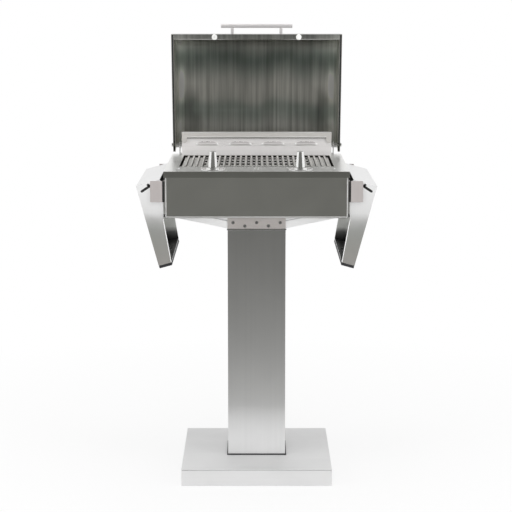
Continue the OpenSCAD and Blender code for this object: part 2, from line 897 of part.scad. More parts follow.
module hinge_spacers() {
    color(polished) both_sides() translate([0, hinge_y, hinge_z]) difference() {
        x_rod(spacer_d, ear_x0 + ear_t, cap_x0 - soft_gap);
        x_rod(hinge_d + 0.1, ear_x0, cap_x0 + 1);
    }
}

// Hood, drawn closed in (y, z) about its hinge, then opened
module open_hood() {
    translate([0, hinge_y, hinge_z]) rotate([-hood_open, 0, 0]) children();
}

// Point of the hood's sloping front at height z, drawn in by t
function front_at(t, z) = let (p = lip_a - t * face_out)
    p + (z - p[1]) / face_dir[1] * face_dir;

// Outline of the hood drawn in by t, from height z_front over the top to height z_rear
function hood_outline(t, z_front, z_rear) = concat(
    [front_at(t, z_front)],
    arc(front_c, hood_front_r - t, 180 - face_lean, 90),
    arc(rear_c, hood_rear_r - t, 90, 0),
    [[hood_rear - t, z_rear]]
);

module hood_hollow() {
    below = -lip_drop - 20;
    polygon(hood_outline(hood_t, below, below));
}

module hood_shell() {
    w = cap_x0;
    a = lip_a[0];
    bevel = 4;
    color(steel) difference() {
        open_hood() {
            along_x(-w, w) difference() {
                polygon(concat(hood_outline(0, -lip_drop, rear_edge),
                    [[hood_rear - 10, rear_edge], [10 - hood_reach, -lip_drop]]));
                hood_hollow();
            }
            translate([0, 0, -lip_drop]) linear_extrude(hood_t) polygon([
                [-w + bevel, a], [w - bevel, a], [w, a + bevel],
                [w, a + lip_w], [-w, a + lip_w], [-w, a + bevel]
            ]);
        }
        on_face() both_sides() translate([post_pitch / 2, 0, -5]) cylinder(h = 10, d = 4.4, $fn = 32);
    }
}

module hood_cap() {
    color(steel) open_hood() difference() {
        along_x(cap_x0, cap_x1) polygon(hood_outline(0, -lip_drop, -lip_drop));
        along_x(cap_x0 + cap_flank, cap_x1 - cap_flank) hood_hollow();
        x_rod(hinge_d + 0.2, cap_x0 - 1, cap_x1 + 1);
    }
}

module hood_cap_left() {
    mirror([1, 0, 0]) hood_cap();
}

module hood_cap_right() {
    hood_cap();
}

// Gasket in the mouth of each end cap, clear of the hinge bolt
module hood_seals() {
    color(black) open_hood() both_sides()
        box([cap_x0 + cap_flank, -hood_reach + 6, -lip_drop + 0.5],
            [cap_x1 - cap_flank, -hinge_head_d, -lip_drop + 9]);
}

module hood_bumpers() {
    color([0.93, 0.93, 0.92]) open_hood() both_sides()
        translate([bumper_x, lip_a[0] + lip_w / 2, -lip_drop - bumper_h]) difference() {
            cylinder(h = bumper_h, d = bumper_d);
            translate([0, 0, -1]) cylinder(h = 2.5, d = 5);
        }
}

// Moves to the handle's frame: the hood's front face, 25 mm above the lip, z outwards
module on_face() {
    p = lip_a + 25 * face_dir;
    open_hood() translate([0, p[0], p[1]]) rotate([hood_open, 0, 0]) children();
}

module handle_tube() {
    color(polished) on_face() translate([0, 0, handle_out]) difference() {
        x_rod(handle_d, -handle_l / 2, handle_l / 2);
        both_sides() translate([post_pitch / 2, 0, -handle_d]) cylinder(h = handle_d, d = 6.2);
    }
}

module handle_posts() {
    color(polished) on_face() both_sides() translate([post_pitch / 2, 0, 0]) difference() {
        union() {
            cylinder(h = handle_out - handle_d / 2 + 0.8, d = 9.5);
            cylinder(h = handle_out - 0.5, d = 6);
        }
        translate([0, 0, -1]) cylinder(h = handle_out - 6, d = 4.2, $fn = 32);
        translate([0, 0, handle_out]) x_rod(handle_d + 0.1, -20, 20);
    }
}

module handle_screws() {
    color(polished) on_face() both_sides() translate([post_pitch / 2, 0, 0]) {
        translate([0, 0, -hood_t - 2]) cylinder(h = 2, d = 9);
        translate([0, 0, -hood_t - eps]) cylinder(h = handle_out - 8, d = 4, $fn = 32);
    }
}

// Knobs
module on_knob(side) {
    translate([side * knob_x, knob_cy, 0]) children();
}

module knob_bezels() {
    color(polished) for (side = [-1, 1]) on_knob(side) difference() {
        union() {
            translate([0, 0, deck_z]) cylinder(h = bezel_t, d = bezel_d, $fn = 96);
            translate([0, 0, deck_z + bezel_t - eps]) cylinder(h = collar_h, d = collar_d);
        }
        translate([0, 0, deck_z - 1]) cylinder(h = 20, d = spindle_d + 4);
    }
}

module knob(side) {
    r0 = knob_foot_d / 2;
    r1 = knob_top_d / 2;
    fillet = 2;
    color(polished) on_knob(side) translate([0, 0, knob_z0]) difference() {
        rotate_extrude($fn = 96) {
            polygon([[0, 0], [r0 - 1, 0], [r0, 1], [r0, 3], [r1, knob_h - fillet],
                     [r1 - fillet, knob_h - fillet], [0, knob_h - fillet]]);
            square([r1 - fillet, knob_h]);
            translate([r1 - fillet, knob_h - fillet]) circle(r = fillet, $fn = 32);
        }
        translate([0, 0, -1]) cylinder(h = knob_h - 9 + 0.2, d = spindle_d + 0.1);
    }
}

module spindle(side) {
    color(dark_steel) on_knob(side) translate([0, 0, spindle_z0])
        cylinder(h = spindle_z1 - spindle_z0, d = spindle_d);
}

module knob_left() {
    knob(-1);
}

module knob_right() {
    knob(1);
}

module spindle_left() {
    spindle(-1);
}

module spindle_right() {
    spindle(1);
}

// Wings, drawn for the right side and mirrored for the left.
// A wing's own frame has its origin at the bend, x towards the body and z up the wing.
module wing_frame() {
    translate([bend_x, 0, bend_z]) rotate([0, wing_lean, 0]) children();
}

function to_wing(p) = let (x = bend_x - p[0], z = p[1] - bend_z)
    [x * cos(wing_lean) + z * sin(wing_lean), z * cos(wing_lean) - x * sin(wing_lean)];

module wing_side() {
    translate([x1, 0, 0]) children();
}

// Outline of a wing's flange in (-x, z) of the wing's frame, with the slot that holds
// the raised wing and the notch that leads into it
module wing_flange_2d() {
    pivot = to_wing([pivot_x, pivot_z]);
    low = to_wing([pivot_x - pivot_r, floor_z - 4]);
    slot_a = to_wing([bend_x - 15.4, bend_z - 15]);
    slot_b = to_wing([bend_x - 41, bend_z + 2]);
    notch_a = to_wing([bend_x - 37.5, bend_z - 0.3]);
    notch_b = to_wing([bend_x - 34.6, bend_z + 4.2]);
    difference() {
        polygon(concat([[0, 0]], arc(pivot, pivot_r, asin(-pivot[1] / pivot_r), -wing_lean),
            [low, [wing_foot_w, -wing_l], [0, -wing_l]]));
        groove(slot_a, slot_b);
        groove(slot_b, pivot);
        groove(notch_a, notch_b);
        translate(pivot) circle(d = slot_d, $fn = 32);
    }
}

// Where the circle about the pivot meets the top line of the wing
function wing_edge(pivot) = pivot[0] + sqrt(pow(pivot_r, 2) - pow(pivot[1], 2));

// A round-ended groove from a to b, a little narrower than the eye at the pivot
module groove(a, b) {
    t = atan2(b[1] - a[1], b[0] - a[0]);
    r = pivot_d / 2 + 0.03;
    polygon(concat(arc(a, r, t + 90, t + 270, 12), arc(b, r, t - 90, t + 90, 12)));
}

module wing() {
    edge = min(wing_top_w, wing_edge(to_wing([pivot_x, pivot_z])));
    color(steel) wing_frame() mirror([1, 0, 0]) difference() {
        union() {
            for (y = [wing_y0, wing_y1 - wing_t]) along_y(y, y + wing_t) wing_flange_2d();
            box([0, wing_y0, -wing_l], [wing_t, wing_y1, 0]);
            box([0, wing_y0, -wing_t], [edge, wing_y1, 0]);
            box([0, wing_y0, -wing_l], [wing_foot_w, wing_y1, -wing_l + wing_t]);
        }
        translate([wing_foot_w / 2 + 3, (wing_y0 + wing_y1) / 2 + 40, -wing_l - 1])
            cylinder(h = 10, d = hang_hole_d);
    }
}

module wing_foot() {
    color(black) wing_frame() mirror([1, 0, 0]) difference() {
        box([0.5, wing_y0 + 0.5, -wing_l - wing_foot_t], [wing_foot_w - 0.5, wing_y1 - 0.5, -wing_l]);
        translate([wing_foot_w / 2 + 3, (wing_y0 + wing_y1) / 2 + 40, -wing_l - wing_foot_t - 1])
            cylinder(h = 20, d = hang_hole_d + 2);
    }
}

module wing_right() {
    wing();
}

module wing_left() {
    mirror([1, 0, 0]) wing();
}

module wing_foot_right() {
    wing_foot();
}

module wing_foot_left() {
    mirror([1, 0, 0]) wing_foot();
}

// Repeats a front fitting at the wing's rear, mirrored about the wing's middle
module wing_ends() {
    mid = (wing_y0 + wing_y1) / 2;
    children();
    translate([0, 2 * mid, 0]) mirror([0, 1, 0]) children();
}

module bracket_points() {
    for (z = [bracket_z1 - 8, bracket_z1 - bracket_h + 8])
        translate([0, wing_y0 - bracket_gap + 19, z]) children();
}

module bracket_holes() {
    wing_ends() bracket_points() x_rod(4.4, -5, bracket_t + 5, 32);
}

module wing_brackets() {
    y = wing_y0 - bracket_gap;
    z0 = bracket_z1 - bracket_h;
    color(steel) both_sides() wing_side() difference() {
        wing_ends() {
            box([0, y - bracket_t, z0], [bracket_w, y, bracket_z1]);
            box([0, y - bracket_t, z0], [bracket_t, y + bracket_leg, bracket_z1]);
        }
        bracket_holes();
    }
}

module bracket_screws() {
    color(polished) both_sides() wing_side() wing_ends() bracket_points() {
        x_rod(4, -sheet_t - 3, bracket_t - eps, 32);
        x_rod(7, -sheet_t - 3, -sheet_t, 6);
    }
}

// Pin from the bracket through washer and flange, with a retaining head behind
module wing_pivots() {
    y = wing_y0 - bracket_gap;
    color(polished) both_sides() translate([pivot_x, 0, pivot_z]) wing_ends() {
        y_rod(pivot_d, y, y + bracket_gap + wing_t + 3, 32);
        y_rod(pivot_d * 2, y + bracket_gap + wing_t + soft_gap, y + bracket_gap + wing_t + 3, 32);
    }
}

module pivot_washers() {
    y = wing_y0 - bracket_gap;
    color(ceramic) both_sides() translate([pivot_x, 0, pivot_z]) wing_ends() difference() {
        y_rod(12, y + soft_gap, y + soft_gap + washer_t, 32);
        y_rod(pivot_d + 0.1, y - 1, y + 5, 32);
    }
}

module wing_bumpers() {
    reach = pivot_out - pivot_r - soft_gap;
    color(black) both_sides() wing_side() wing_ends()
        translate([0, wing_y0 + 3, floor_z + 6]) x_rod(8, 0, reach, 32);
}

base_plate();
base_cover();
column_seal();
column_foot();
foot_bolts();
column();
column_head();
head_gasket();
head_bolts();
saddle();
neck_plates();
neck_screws();
saddle_bolts();
body_tub();
front_panel();
rear_panel();
deck();
deck_screws();
firebox();
cooking_plate();
heating_element();
element_bars();
element_glands();
drip_tray();
heat_shield();
regulators();
terminal_block();
wires();
indicator_bezel();
indicator_lens();
power_inlet();
inlet_pins();
rear_baffle();
rear_rail();
hinge_brackets();
hinge_bolts();
hinge_nuts();
hinge_spacers();
knob_bezels();
wing_brackets();
bracket_screws();
wing_pivots();
pivot_washers();
wing_bumpers();
hood_shell();
hood_cap_left();
hood_cap_right();
hood_seals();
hood_bumpers();
handle_tube();
handle_posts();
handle_screws();
knob_left();
knob_right();
spindle_left();
spindle_right();
wing_left();
wing_right();
wing_foot_left();
wing_foot_right();
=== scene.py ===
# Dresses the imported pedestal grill: materials, small formed details, camera, light and floor.
import json
import math
import bmesh
import bpy
from mathutils import Matrix, Vector


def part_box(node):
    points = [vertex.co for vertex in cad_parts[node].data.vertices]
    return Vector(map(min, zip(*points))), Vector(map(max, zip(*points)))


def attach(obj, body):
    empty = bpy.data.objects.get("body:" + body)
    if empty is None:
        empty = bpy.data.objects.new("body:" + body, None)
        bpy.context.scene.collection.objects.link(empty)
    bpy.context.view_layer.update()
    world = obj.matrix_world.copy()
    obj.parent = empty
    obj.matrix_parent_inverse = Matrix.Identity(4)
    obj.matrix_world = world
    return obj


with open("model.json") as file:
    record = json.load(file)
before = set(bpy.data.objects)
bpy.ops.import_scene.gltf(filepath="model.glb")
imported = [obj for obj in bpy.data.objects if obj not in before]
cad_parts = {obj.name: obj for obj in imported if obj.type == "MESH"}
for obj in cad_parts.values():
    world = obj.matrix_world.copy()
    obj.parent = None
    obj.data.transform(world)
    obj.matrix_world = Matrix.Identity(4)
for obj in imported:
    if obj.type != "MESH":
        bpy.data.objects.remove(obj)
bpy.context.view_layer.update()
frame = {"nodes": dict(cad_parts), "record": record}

nodes = frame["nodes"]

# All lengths are in metres. Left is -X, the front is -Y and up is +Z.
MM = 0.001
FRONT = Vector((0, -1, 0))

# The side of the middle that each wing is on
WAYS = {"wing_left": -1, "wing_right": 1}

# Camera: the photograph's view, fitted on the base, column, body and hood
CAMERA_AT = (0.0, -4.593, 1.421)
CAMERA_TILT = 8.63
CAMERA_LENS = 111.21
CAMERA_SHIFT = (-0.0012, -0.06)
CAMERA_REACH = 50

# Lamps: name, place, width and height, watts. Each faces the target.
LAMPS = [("ceiling", (0, -0.4, 3.4), (3.4, 3.0), 40),
         ("left_box", (-3.0, -1.6, 1.8), (1.6, 2.6), 28),
         ("right_box", (3.0, -1.6, 1.8), (1.6, 2.6), 28),
         ("front_fill", (0, -4.4, 1.0), (3.0, 1.8), 33)]
LAMP_TARGET = (0, 0, 0.7)

# World: plain white where it is seen, and this much light where it falls on things
AMBIENT = 0.62

# Floor: a pale disc. Where it is seen, a white glow covers it: all but the share FLOOR_KEEP
# near the middle, and the whole of it beyond the two distances of FLOOR_FADE.
FLOOR_R = 2.5
FLOOR_SIDES = 96
FLOOR_DOWN = 0.5 * MM
FLOOR_COLOUR = (0.9, 0.9, 0.9)
FLOOR_KEEP = 0.22
FLOOR_FADE = (0.5, 0.7 * FLOOR_R)

# Flag: a dark surface that only reflections and clear pieces see. It runs along the floor in
# front of the grill, up behind the camera and back overhead. On the floor it fades in with
# distance, and between the two heights of FLAG_SOLID it becomes full everywhere.
FLAG_START = 0.3
FLAG_R = 6.0
FLAG_UP = MM
FLAG_HIGH = 7.0
FLAG_PATH = [(FLAG_START, FLAG_UP), (1.0, FLAG_UP), (2.0, FLAG_UP), (4.0, FLAG_UP),
             (FLAG_R, FLAG_UP), (FLAG_R, FLAG_HIGH), (FLAG_START, FLAG_HIGH)]
FLAG_FADE = [(FLAG_START, 0.0), (0.5, 0.04), (0.72, 0.4), (1.19, 0.58),
             (1.77, 0.73), (2.47, 0.88), (3.4, 1.0)]
FLAG_SOLID = (0.5, 1.0)
FLAG_HALF_ANGLE = 50
FLAG_STEPS = 12
FLAG_GREY = 0.17
FLAG_COLOUR = (FLAG_GREY, FLAG_GREY, 0.95 * FLAG_GREY)

# Beads: the round edges of folded sheet
BEAD_R = 1.3 * MM
BEAD_SIDES = 8
MITRE_LIMIT = 0.3
HEM_W = 3.0 * MM
PANEL_HEM_DOWN = 16 * MM
WING_HEM_R = 1.2 * MM
SEAM_DOWN = 2.2 * MM
SEAM_IN = 0.6 * MM

# The hood's lip, which slopes back as it goes down from the shell's highest line
LIP_DOWN = 15.2 * MM
LIP_SLOPE = 0.205
LIP_END = 3 * MM
LIP_R = 0.7 * MM

# The rear rail, and the painted shadow in the gap under it
RAIL_H = 17 * MM
RAIL_TAB = 16 * MM
RAIL_END = 1 * MM
RAIL_FOLD_UP = 2.5 * MM
RAIL_IN = 0.4 * MM
SHADOW_DOWN = 0.6 * MM
SHADOW_R = 1 * MM

# Louvres in the rear baffle
LOUVRES = 4
LOUVRE_PITCH = 100 * MM
LOUVRE_L = 63 * MM
LOUVRE_UP = 29.2 * MM
SCOOP_H = 8 * MM
SCOOP_OUT = 3 * MM
SCOOP_ROWS = 8
SCOOP_STEPS = 32
MOUTH_H = 6.5 * MM
MOUTH_OUT = 0.3 * MM
MOUTH_HALF = 0.44 * LOUVRE_L
MOUTH_STEPS = 24
DIMPLE = (4 * MM, 1.5 * MM, 3 * MM)
DIMPLE_IN = 1 * MM
DIMPLE_UP = 0.6 * SCOOP_H

# Dark strips of painted shadow between the front wing brackets and the body
SIDE_SHADOW_W = 6 * MM
SIDE_SHADOW_GAP = 0.5 * MM
SIDE_SHADOW_OUT = 0.1 * MM
SIDE_SHADOW_THICK = 0.8 * MM

# Lines on a wing's flange, as distance from the middle and height when the wing hangs
FLANGE_TOP = (260.6 * MM, 775 * MM)
FLANGE_FOOT = (239.6 * MM, 654 * MM)
SLOT = ((319.5 * MM, 853.6 * MM), (289 * MM, 874 * MM))
NOTCH = ((297.5 * MM, 868.5 * MM), (302.2 * MM, 871.6 * MM))
# Dark strips of painted shade round the lock slot and its notch
SLOT_SHADOW_R = 3.4 * MM
SLOT_SHADOW_OUT = 0.2 * MM
SLOT_SHADOW_STEPS = 8

# Sockets in screw heads, as radius and depth, and the pattern of the neck screws
NECK_SOCKET = (1.7 * MM, 0.3 * MM)
HINGE_SOCKET = (3 * MM, 0.2 * MM)
SOCKET_TAPER = 0.9
NECK_PITCH = 68 * MM
NECK_RISE = 10 * MM
NECK_UP = 7 * MM

# Dials round the knobs, with a long tick at every fifth step, and the knobs' pointers
DIAL_R = 29 * MM
DIAL_UP = 2 * MM
DIAL_TICKS = 11
DIAL_FROM = -225
DIAL_STEP = 27
TICK_LONG = 5.5 * MM
TICK_SHORT = 3.5 * MM
TICK_W = 0.9 * MM
TICK_THICK = 0.1 * MM
POINTER = (1.2 * MM, 6 * MM, 0.15 * MM)
POINTER_FORWARD = 4.5 * MM


# Shaders. Nearly all of a noise lies between NOISE_LOW and NOISE_HIGH. The turn keeps flat
# sheets from lying in the planes of the noise's lattice.
NOISE_LOW, NOISE_HIGH = 0.3, 0.7
NOISE_TURN = (0.5, 0.7, 0.3)


class Shader:
    """The nodes of a material or of the world, made by short calls."""

    def __init__(self, name, world=False):
        self.owner = bpy.data.worlds.new(name) if world else bpy.data.materials.new(name)
        self.owner.use_nodes = True
        self.tree = self.owner.node_tree
        self.tree.nodes.clear()
        self.out = self.node("ShaderNodeOutputWorld" if world else "ShaderNodeOutputMaterial")

    def node(self, kind, **values):
        """A node with these settings and inputs; an underscore stands for a space."""
        made = self.tree.nodes.new(kind)
        for key, value in values.items():
            if hasattr(made, key):
                setattr(made, key, value)
            else:
                self.feed(made.inputs[key.replace("_", " ")], value)
        return made

    def link(self, source, target):
        self.tree.links.new(source, target)

    def feed(self, socket, value):
        """Gives an input a number, a colour or another node's output."""
        if isinstance(value, bpy.types.NodeSocket):
            self.link(value, socket)
        elif isinstance(value, tuple) and socket.type == "RGBA":
            socket.default_value = (*value, 1.0)
        else:
            socket.default_value = value

    def position(self, scale=(1.0, 1.0, 1.0), turn=(0.0, 0.0, 0.0)):
        """Object coordinates in metres, stretched by scale along each axis, then turned."""
        place = self.node("ShaderNodeTexCoord").outputs["Object"]
        return self.node("ShaderNodeMapping", Scale=scale, Rotation=turn, Vector=place).outputs["Vector"]

    def axis(self, letter):
        """The piece's own X, Y or Z, in metres."""
        split = self.node("ShaderNodeSeparateXYZ")
        self.link(self.position(), split.inputs[0])
        return split.outputs[letter]

    def from_middle(self):
        """Distance from the upright line through the middle, in metres."""
        distance = self.node("ShaderNodeVectorMath", operation="LENGTH")
        self.link(self.position((1.0, 1.0, 0.0)), distance.inputs[0])
        return distance.outputs["Value"]

    def noise(self, scale, detail=3.0, rough=0.5, distortion=0.0):
        """Noise from 0 to 1, with scale a number or one number for each axis."""
        axes = scale if isinstance(scale, tuple) else (scale, scale, scale)
        made = self.node("ShaderNodeTexNoise", Scale=1.0, Detail=detail, Roughness=rough,
                         Distortion=distortion, Vector=self.position(axes, NOISE_TURN))
        return made.outputs["Fac"]

    def math(self, operation, a, b=0.0, clamp=False):
        made = self.node("ShaderNodeMath", operation=operation, use_clamp=clamp)
        self.feed(made.inputs[0], a)
        self.feed(made.inputs[1], b)
        return made.outputs[0]

    def ranged(self, value, low, high, from_low=NOISE_LOW, from_high=NOISE_HIGH):
        """The value's place between from_low and from_high, moved to between low and high."""
        made = self.node("ShaderNodeMapRange")
        made.inputs["From Min"].default_value = from_low
        made.inputs["From Max"].default_value = from_high
        made.inputs["To Min"].default_value = low
        made.inputs["To Max"].default_value = high
        self.link(value, made.inputs["Value"])
        return made.outputs["Result"]

    def near(self, value, at, level, close, far):
        """The level where value is within close of at, falling to nothing at far."""
        away = self.math("ABSOLUTE", self.math("SUBTRACT", value, at))
        return self.ranged(away, level, 0.0, close, far)

    def mix(self, factor, a, b):
        """A colour between a and b."""
        made = self.node("ShaderNodeMix", data_type="RGBA")
        self.feed(made.inputs["Factor"], factor)
        self.feed(made.inputs["A"], a)
        self.feed(made.inputs["B"], b)
        return made.outputs["Result"]

    def ramp(self, value, stops, ease="B_SPLINE"):
        """A colour for value, eased between stops of (value, colour)."""
        low, high = stops[0][0], stops[-1][0]
        made = self.node("ShaderNodeValToRGB")
        made.color_ramp.interpolation = ease
        for k, (at, colour) in enumerate(stops):
            place = (at - low) / (high - low)
            points = made.color_ramp.elements
            point = points[k] if k in (0, 1) else points.new(place)
            point.position = place
            point.color = (*colour, 1.0)
        self.link(self.ranged(value, 0.0, 1.0, low, high), made.inputs["Fac"])
        return made.outputs["Color"]

    def shade(self, colour, level):
        """The colour times a varying level."""
        made = self.node("ShaderNodeVectorMath", operation="SCALE")
        self.feed(made.inputs[0], colour)
        self.link(level, made.inputs["Scale"])
        return made.outputs["Vector"]

    def bump(self, height, strength, distance):
        made = self.node("ShaderNodeBump", Strength=strength, Distance=distance, Height=height)
        return made.outputs["Normal"]

    def seen(self):
        """1 to the lens, to reflections and through clear pieces, 0 where light falls on things."""
        rays = self.node("ShaderNodeLightPath").outputs
        indirect = self.math("MAXIMUM", rays["Is Glossy Ray"], rays["Is Transmission Ray"])
        return self.math("MAXIMUM", rays["Is Camera Ray"], indirect)

    def principled(self, **values):
        """Ends a material in a Principled shader, and returns the material."""
        made = self.node("ShaderNodeBsdfPrincipled", **values)
        self.link(made.outputs["BSDF"], self.out.inputs["Surface"])
        return self.owner

    def blend(self, factor, first, second):
        """Ends the tree in a mix of two shaders, the first at 0 and the second at 1."""
        mixed = self.node("ShaderNodeMixShader", Fac=factor)
        self.link(first.outputs[0], mixed.inputs[1])
        self.link(second.outputs[0], mixed.inputs[2])
        self.link(mixed.outputs[0], self.out.inputs["Surface"])
        return self.owner


# Scales of the fine scratches and of the broad streaks, for sheet brushed along X or Z
GRAIN = {"x": (6.0, 900.0, 900.0), "z": (900.0, 900.0, 6.0)}
STREAK = {"x": (1.2, 110.0, 110.0), "z": (110.0, 110.0, 1.2)}
SCRATCH_DEPTH = 0.00006


def brushed_marks(s, grain):
    """Fine scratches along one axis, broad streaks along it, and wipe marks."""
    fine = s.noise(GRAIN[grain], detail=4.0, rough=0.65)
    broad = s.noise(STREAK[grain], detail=3.0, rough=0.6)
    wiped = s.noise(5.0, detail=4.0, rough=0.55, distortion=0.6)
    return fine, broad, wiped


def brushed(name, colour, rough, grain="x", streaks=0.035, smudge=0.04, grain_depth=0.14, metallic=1.0):
    """Brushed stainless sheet: fine scratches along one axis, broad streaks, faint wipe marks."""
    s = Shader(name)
    fine, broad, wiped = brushed_marks(s, grain)
    level = s.math("ADD", s.ranged(broad, 1.0 - streaks, 1.0 + streaks),
                   s.ranged(fine, -0.5 * streaks, 0.5 * streaks))
    level = s.math("MULTIPLY", level, s.ranged(wiped, 1.0 - smudge, 1.0 + smudge))
    spread = 0.35 * grain_depth
    roughness = s.math("ADD", s.ranged(fine, rough - spread, rough + spread),
                       s.ranged(wiped, -0.04, 0.04), clamp=True)
    return s.principled(Base_Color=s.shade(colour, level), Metallic=metallic, Roughness=roughness,
                        Normal=s.bump(fine, grain_depth, SCRATCH_DEPTH))


def polished(name, colour, rough=0.09):
    """Polished metal with faint turning marks and finger smudges."""
    s = Shader(name)
    marks = s.noise((40.0, 40.0, 1600.0), detail=2.0)
    smudges = s.noise(60.0, detail=4.0, rough=0.6, distortion=0.8)
    return s.principled(Base_Color=s.shade(colour, s.ranged(smudges, 0.94, 1.03)), Metallic=1.0,
                        Roughness=s.ranged(smudges, rough - 0.04, rough + 0.07),
                        Normal=s.bump(marks, 0.12, 0.00003))


def galvanised(name):
    """Zinc spangle over steel plate."""
    s = Shader(name)
    cells = s.node("ShaderNodeTexVoronoi", Scale=90.0, Vector=s.position())
    tone = s.math("ADD", s.ranged(cells.outputs["Color"], 0.8, 1.1, 0.0, 1.0),
                  s.ranged(s.noise(14.0), -0.08, 0.08))
    return s.principled(Base_Color=s.shade((0.56, 0.57, 0.58), tone), Metallic=0.9,
                        Roughness=s.ranged(cells.outputs["Distance"], 0.38, 0.55, 0.0, 1.0),
                        Normal=s.bump(s.noise(400.0), 0.15, 0.0001))


def heat_black_and_shade(name, colour=(0.075, 0.072, 0.068)):
    """Steel blackened by heat, with baked-on fat; on the cooking plate's steep faces it is painted shade.
    """
    s = Shader(name)
    tint = s.noise(9.0, detail=5.0, rough=0.6, distortion=0.5)
    spots = s.noise(130.0, detail=5.0, rough=0.7)
    base = s.mix(s.ranged(tint, 0.0, 1.0), colour, (0.05, 0.043, 0.036))
    return s.principled(Base_Color=s.shade(base, s.ranged(spots, 0.7, 1.2)), Metallic=0.6,
                        Roughness=s.ranged(spots, 0.45, 0.65), Normal=s.bump(spots, 0.3, 0.0003))


def cast_plate(name):
    """Cast plate, ground bright, with stains of baked fat."""
    s = Shader(name)
    grit = s.noise(700.0, detail=4.0, rough=0.7)
    stain = s.noise(16.0, detail=5.0, rough=0.6, distortion=0.7)
    return s.principled(Base_Color=s.shade((0.82, 0.81, 0.78), s.ranged(stain, 0.76, 1.12)), Metallic=0.7,
                        Roughness=s.ranged(grit, 0.34, 0.52), Normal=s.bump(grit, 0.35, 0.0002))


def rubber(name, colour=(0.022, 0.022, 0.024), rough=0.62):
    """Moulded rubber with a fine grain and dusty patches."""
    s = Shader(name)
    grain = s.noise(900.0, detail=3.0, rough=0.6)
    dust = s.noise(30.0, detail=4.0, rough=0.6)
    return s.principled(Base_Color=s.shade(colour, s.ranged(dust, 0.8, 1.5)),
                        Roughness=s.ranged(dust, rough - 0.1, rough + 0.15),
                        Normal=s.bump(grain, 0.25, 0.0002))


def plastic(name, colour, rough=0.45):
    """Moulded plastic with spark-eroded texture."""
    s = Shader(name)
    texture = s.noise(1300.0, detail=2.0)
    tone = s.noise(25.0, detail=3.0)
    return s.principled(Base_Color=s.shade(colour, s.ranged(tone, 0.92, 1.08)),
                        Roughness=s.ranged(texture, rough - 0.08, rough + 0.1),
                        Normal=s.bump(texture, 0.2, 0.0001))


def lens(name):
    """Clear diffusing lens."""
    s = Shader(name)
    haze = s.noise(500.0, detail=2.0)
    return s.principled(Base_Color=(0.95, 0.95, 0.9), Roughness=s.ranged(haze, 0.08, 0.22),
                        Transmission_Weight=0.55, IOR=1.49, Normal=s.bump(haze, 0.1, 0.0001))


# Each sheet's grain, colour, roughness and share of metal reflection. All of it is stainless
# steel: the colours that differ from sheet to sheet are painted light, shade and reflection, and
# the saddle's pure white is painted light. A share under 1 isn't the real metal's: it gives the
# flat greys of the photo.
SHEETS = {
    "base_cover": ("x", (0.71, 0.71, 0.71), 0.5, 0.15),
    "column": ("z", (0.68, 0.68, 0.67), 0.32, 1.0),
    "saddle": ("x", (1.0, 1.0, 1.0), 0.5, 0.0),
    "neck_plates": ("x", (0.66, 0.62, 0.6), 0.4, 0.4),
    "body_tub": ("x", (0.62, 0.62, 0.6), 0.33, 1.0),
    "front_panel": ("x", (0.69, 0.69, 0.655), 0.33, 1.0),
    "rear_panel": ("x", (0.62, 0.62, 0.6), 0.34, 1.0),
    "deck": ("x", (0.88, 0.88, 0.86), 0.33, 0.85),
    "heat_shield": ("x", (0.62, 0.62, 0.6), 0.35, 1.0),
    "rear_baffle": ("x", (0.86, 0.84, 0.83), 0.5, 0.15),
    "rear_rail": ("x", (0.68, 0.66, 0.63), 0.45, 0.3),
    "hinge_brackets": ("z", (0.9, 0.9, 0.89), 0.34, 0.6),
    "wing_brackets": ("z", (0.54, 0.5, 0.49), 0.4, 0.3),
    "hood_cap_left": ("z", (0.6, 0.6, 0.54), 0.34, 0.9),
    "hood_cap_right": ("z", (0.6, 0.6, 0.54), 0.34, 0.9),
    "wing_left": ("z", (0.8, 0.8, 0.8), 0.38, 0.7),
    "wing_right": ("z", (0.8, 0.8, 0.8), 0.38, 0.7),
}
SHEET_STREAKS, SHEET_SMUDGE, SHEET_GRAIN = 0.03, 0.04, 0.14

# Share of the streaks and scratches that calmer sheets keep
CALM = {"front_panel": 0.12, "base_cover": 0.3, "saddle": 0.5}

# Finishes that differ from the node's slot in the record
OTHER_FINISH = {"handle_tube": "handle", "handle_posts": "handle", "drip_tray": "dark_steel"}

# Widths of the rounded edges, in millimetres; other sheets have BEVEL
BEVELS = {"column": 2.5, "base_cover": 1.2, "wing_left": 0.7, "wing_right": 0.7,
          "hood_shell": 0.5, "cooking_plate": 0.6, "knob_bezels": 0.5}
BEVEL = 0.4

# Edges sharper than BEVEL_ANGLE are rounded, and those sharper than SMOOTH_ANGLE stay sharp in
# the shading. Both are in degrees. Points closer than WELD are joined first.
BEVEL_ANGLE = 40
SMOOTH_ANGLE = 35.0
WELD = 0.01 * MM

# The photo's light and dark zones on the hood's sheet, painted in by height when it is open:
# painted reflections and painted shade
HOOD_PAINTED_LIGHT = [(0.95, (0.72, 0.71, 0.68)), (0.99, (0.76, 0.75, 0.72)), (1.02, (0.48, 0.52, 0.48)),
              (1.05, (0.37, 0.42, 0.39)), (1.075, (0.66, 0.66, 0.62)), (1.12, (0.66, 0.65, 0.61)),
              (1.155, (0.43, 0.45, 0.42)), (1.19, (0.17, 0.2, 0.18)), (1.22, (0.22, 0.25, 0.23)),
              (1.25, (0.56, 0.57, 0.54)), (1.29, (0.24, 0.24, 0.23))]

# More painted light and shade on the hood: brighter towards its ends, a pale zone high up, a
# darker patch low down and a highlight band, all painted. X is the distance from its middle, Z the height
# when it is open
BRIGHT_X = (0.2, 0.24)
PALE_X, PALE_Z = (0.15, 0.22), (1.18, 1.22)
SHADE_PATCH_X, SHADE_PATCH_Z = 0.2, (1.07, 1.12)
SHINE_X, SHINE_Z = 0.231, 1.12
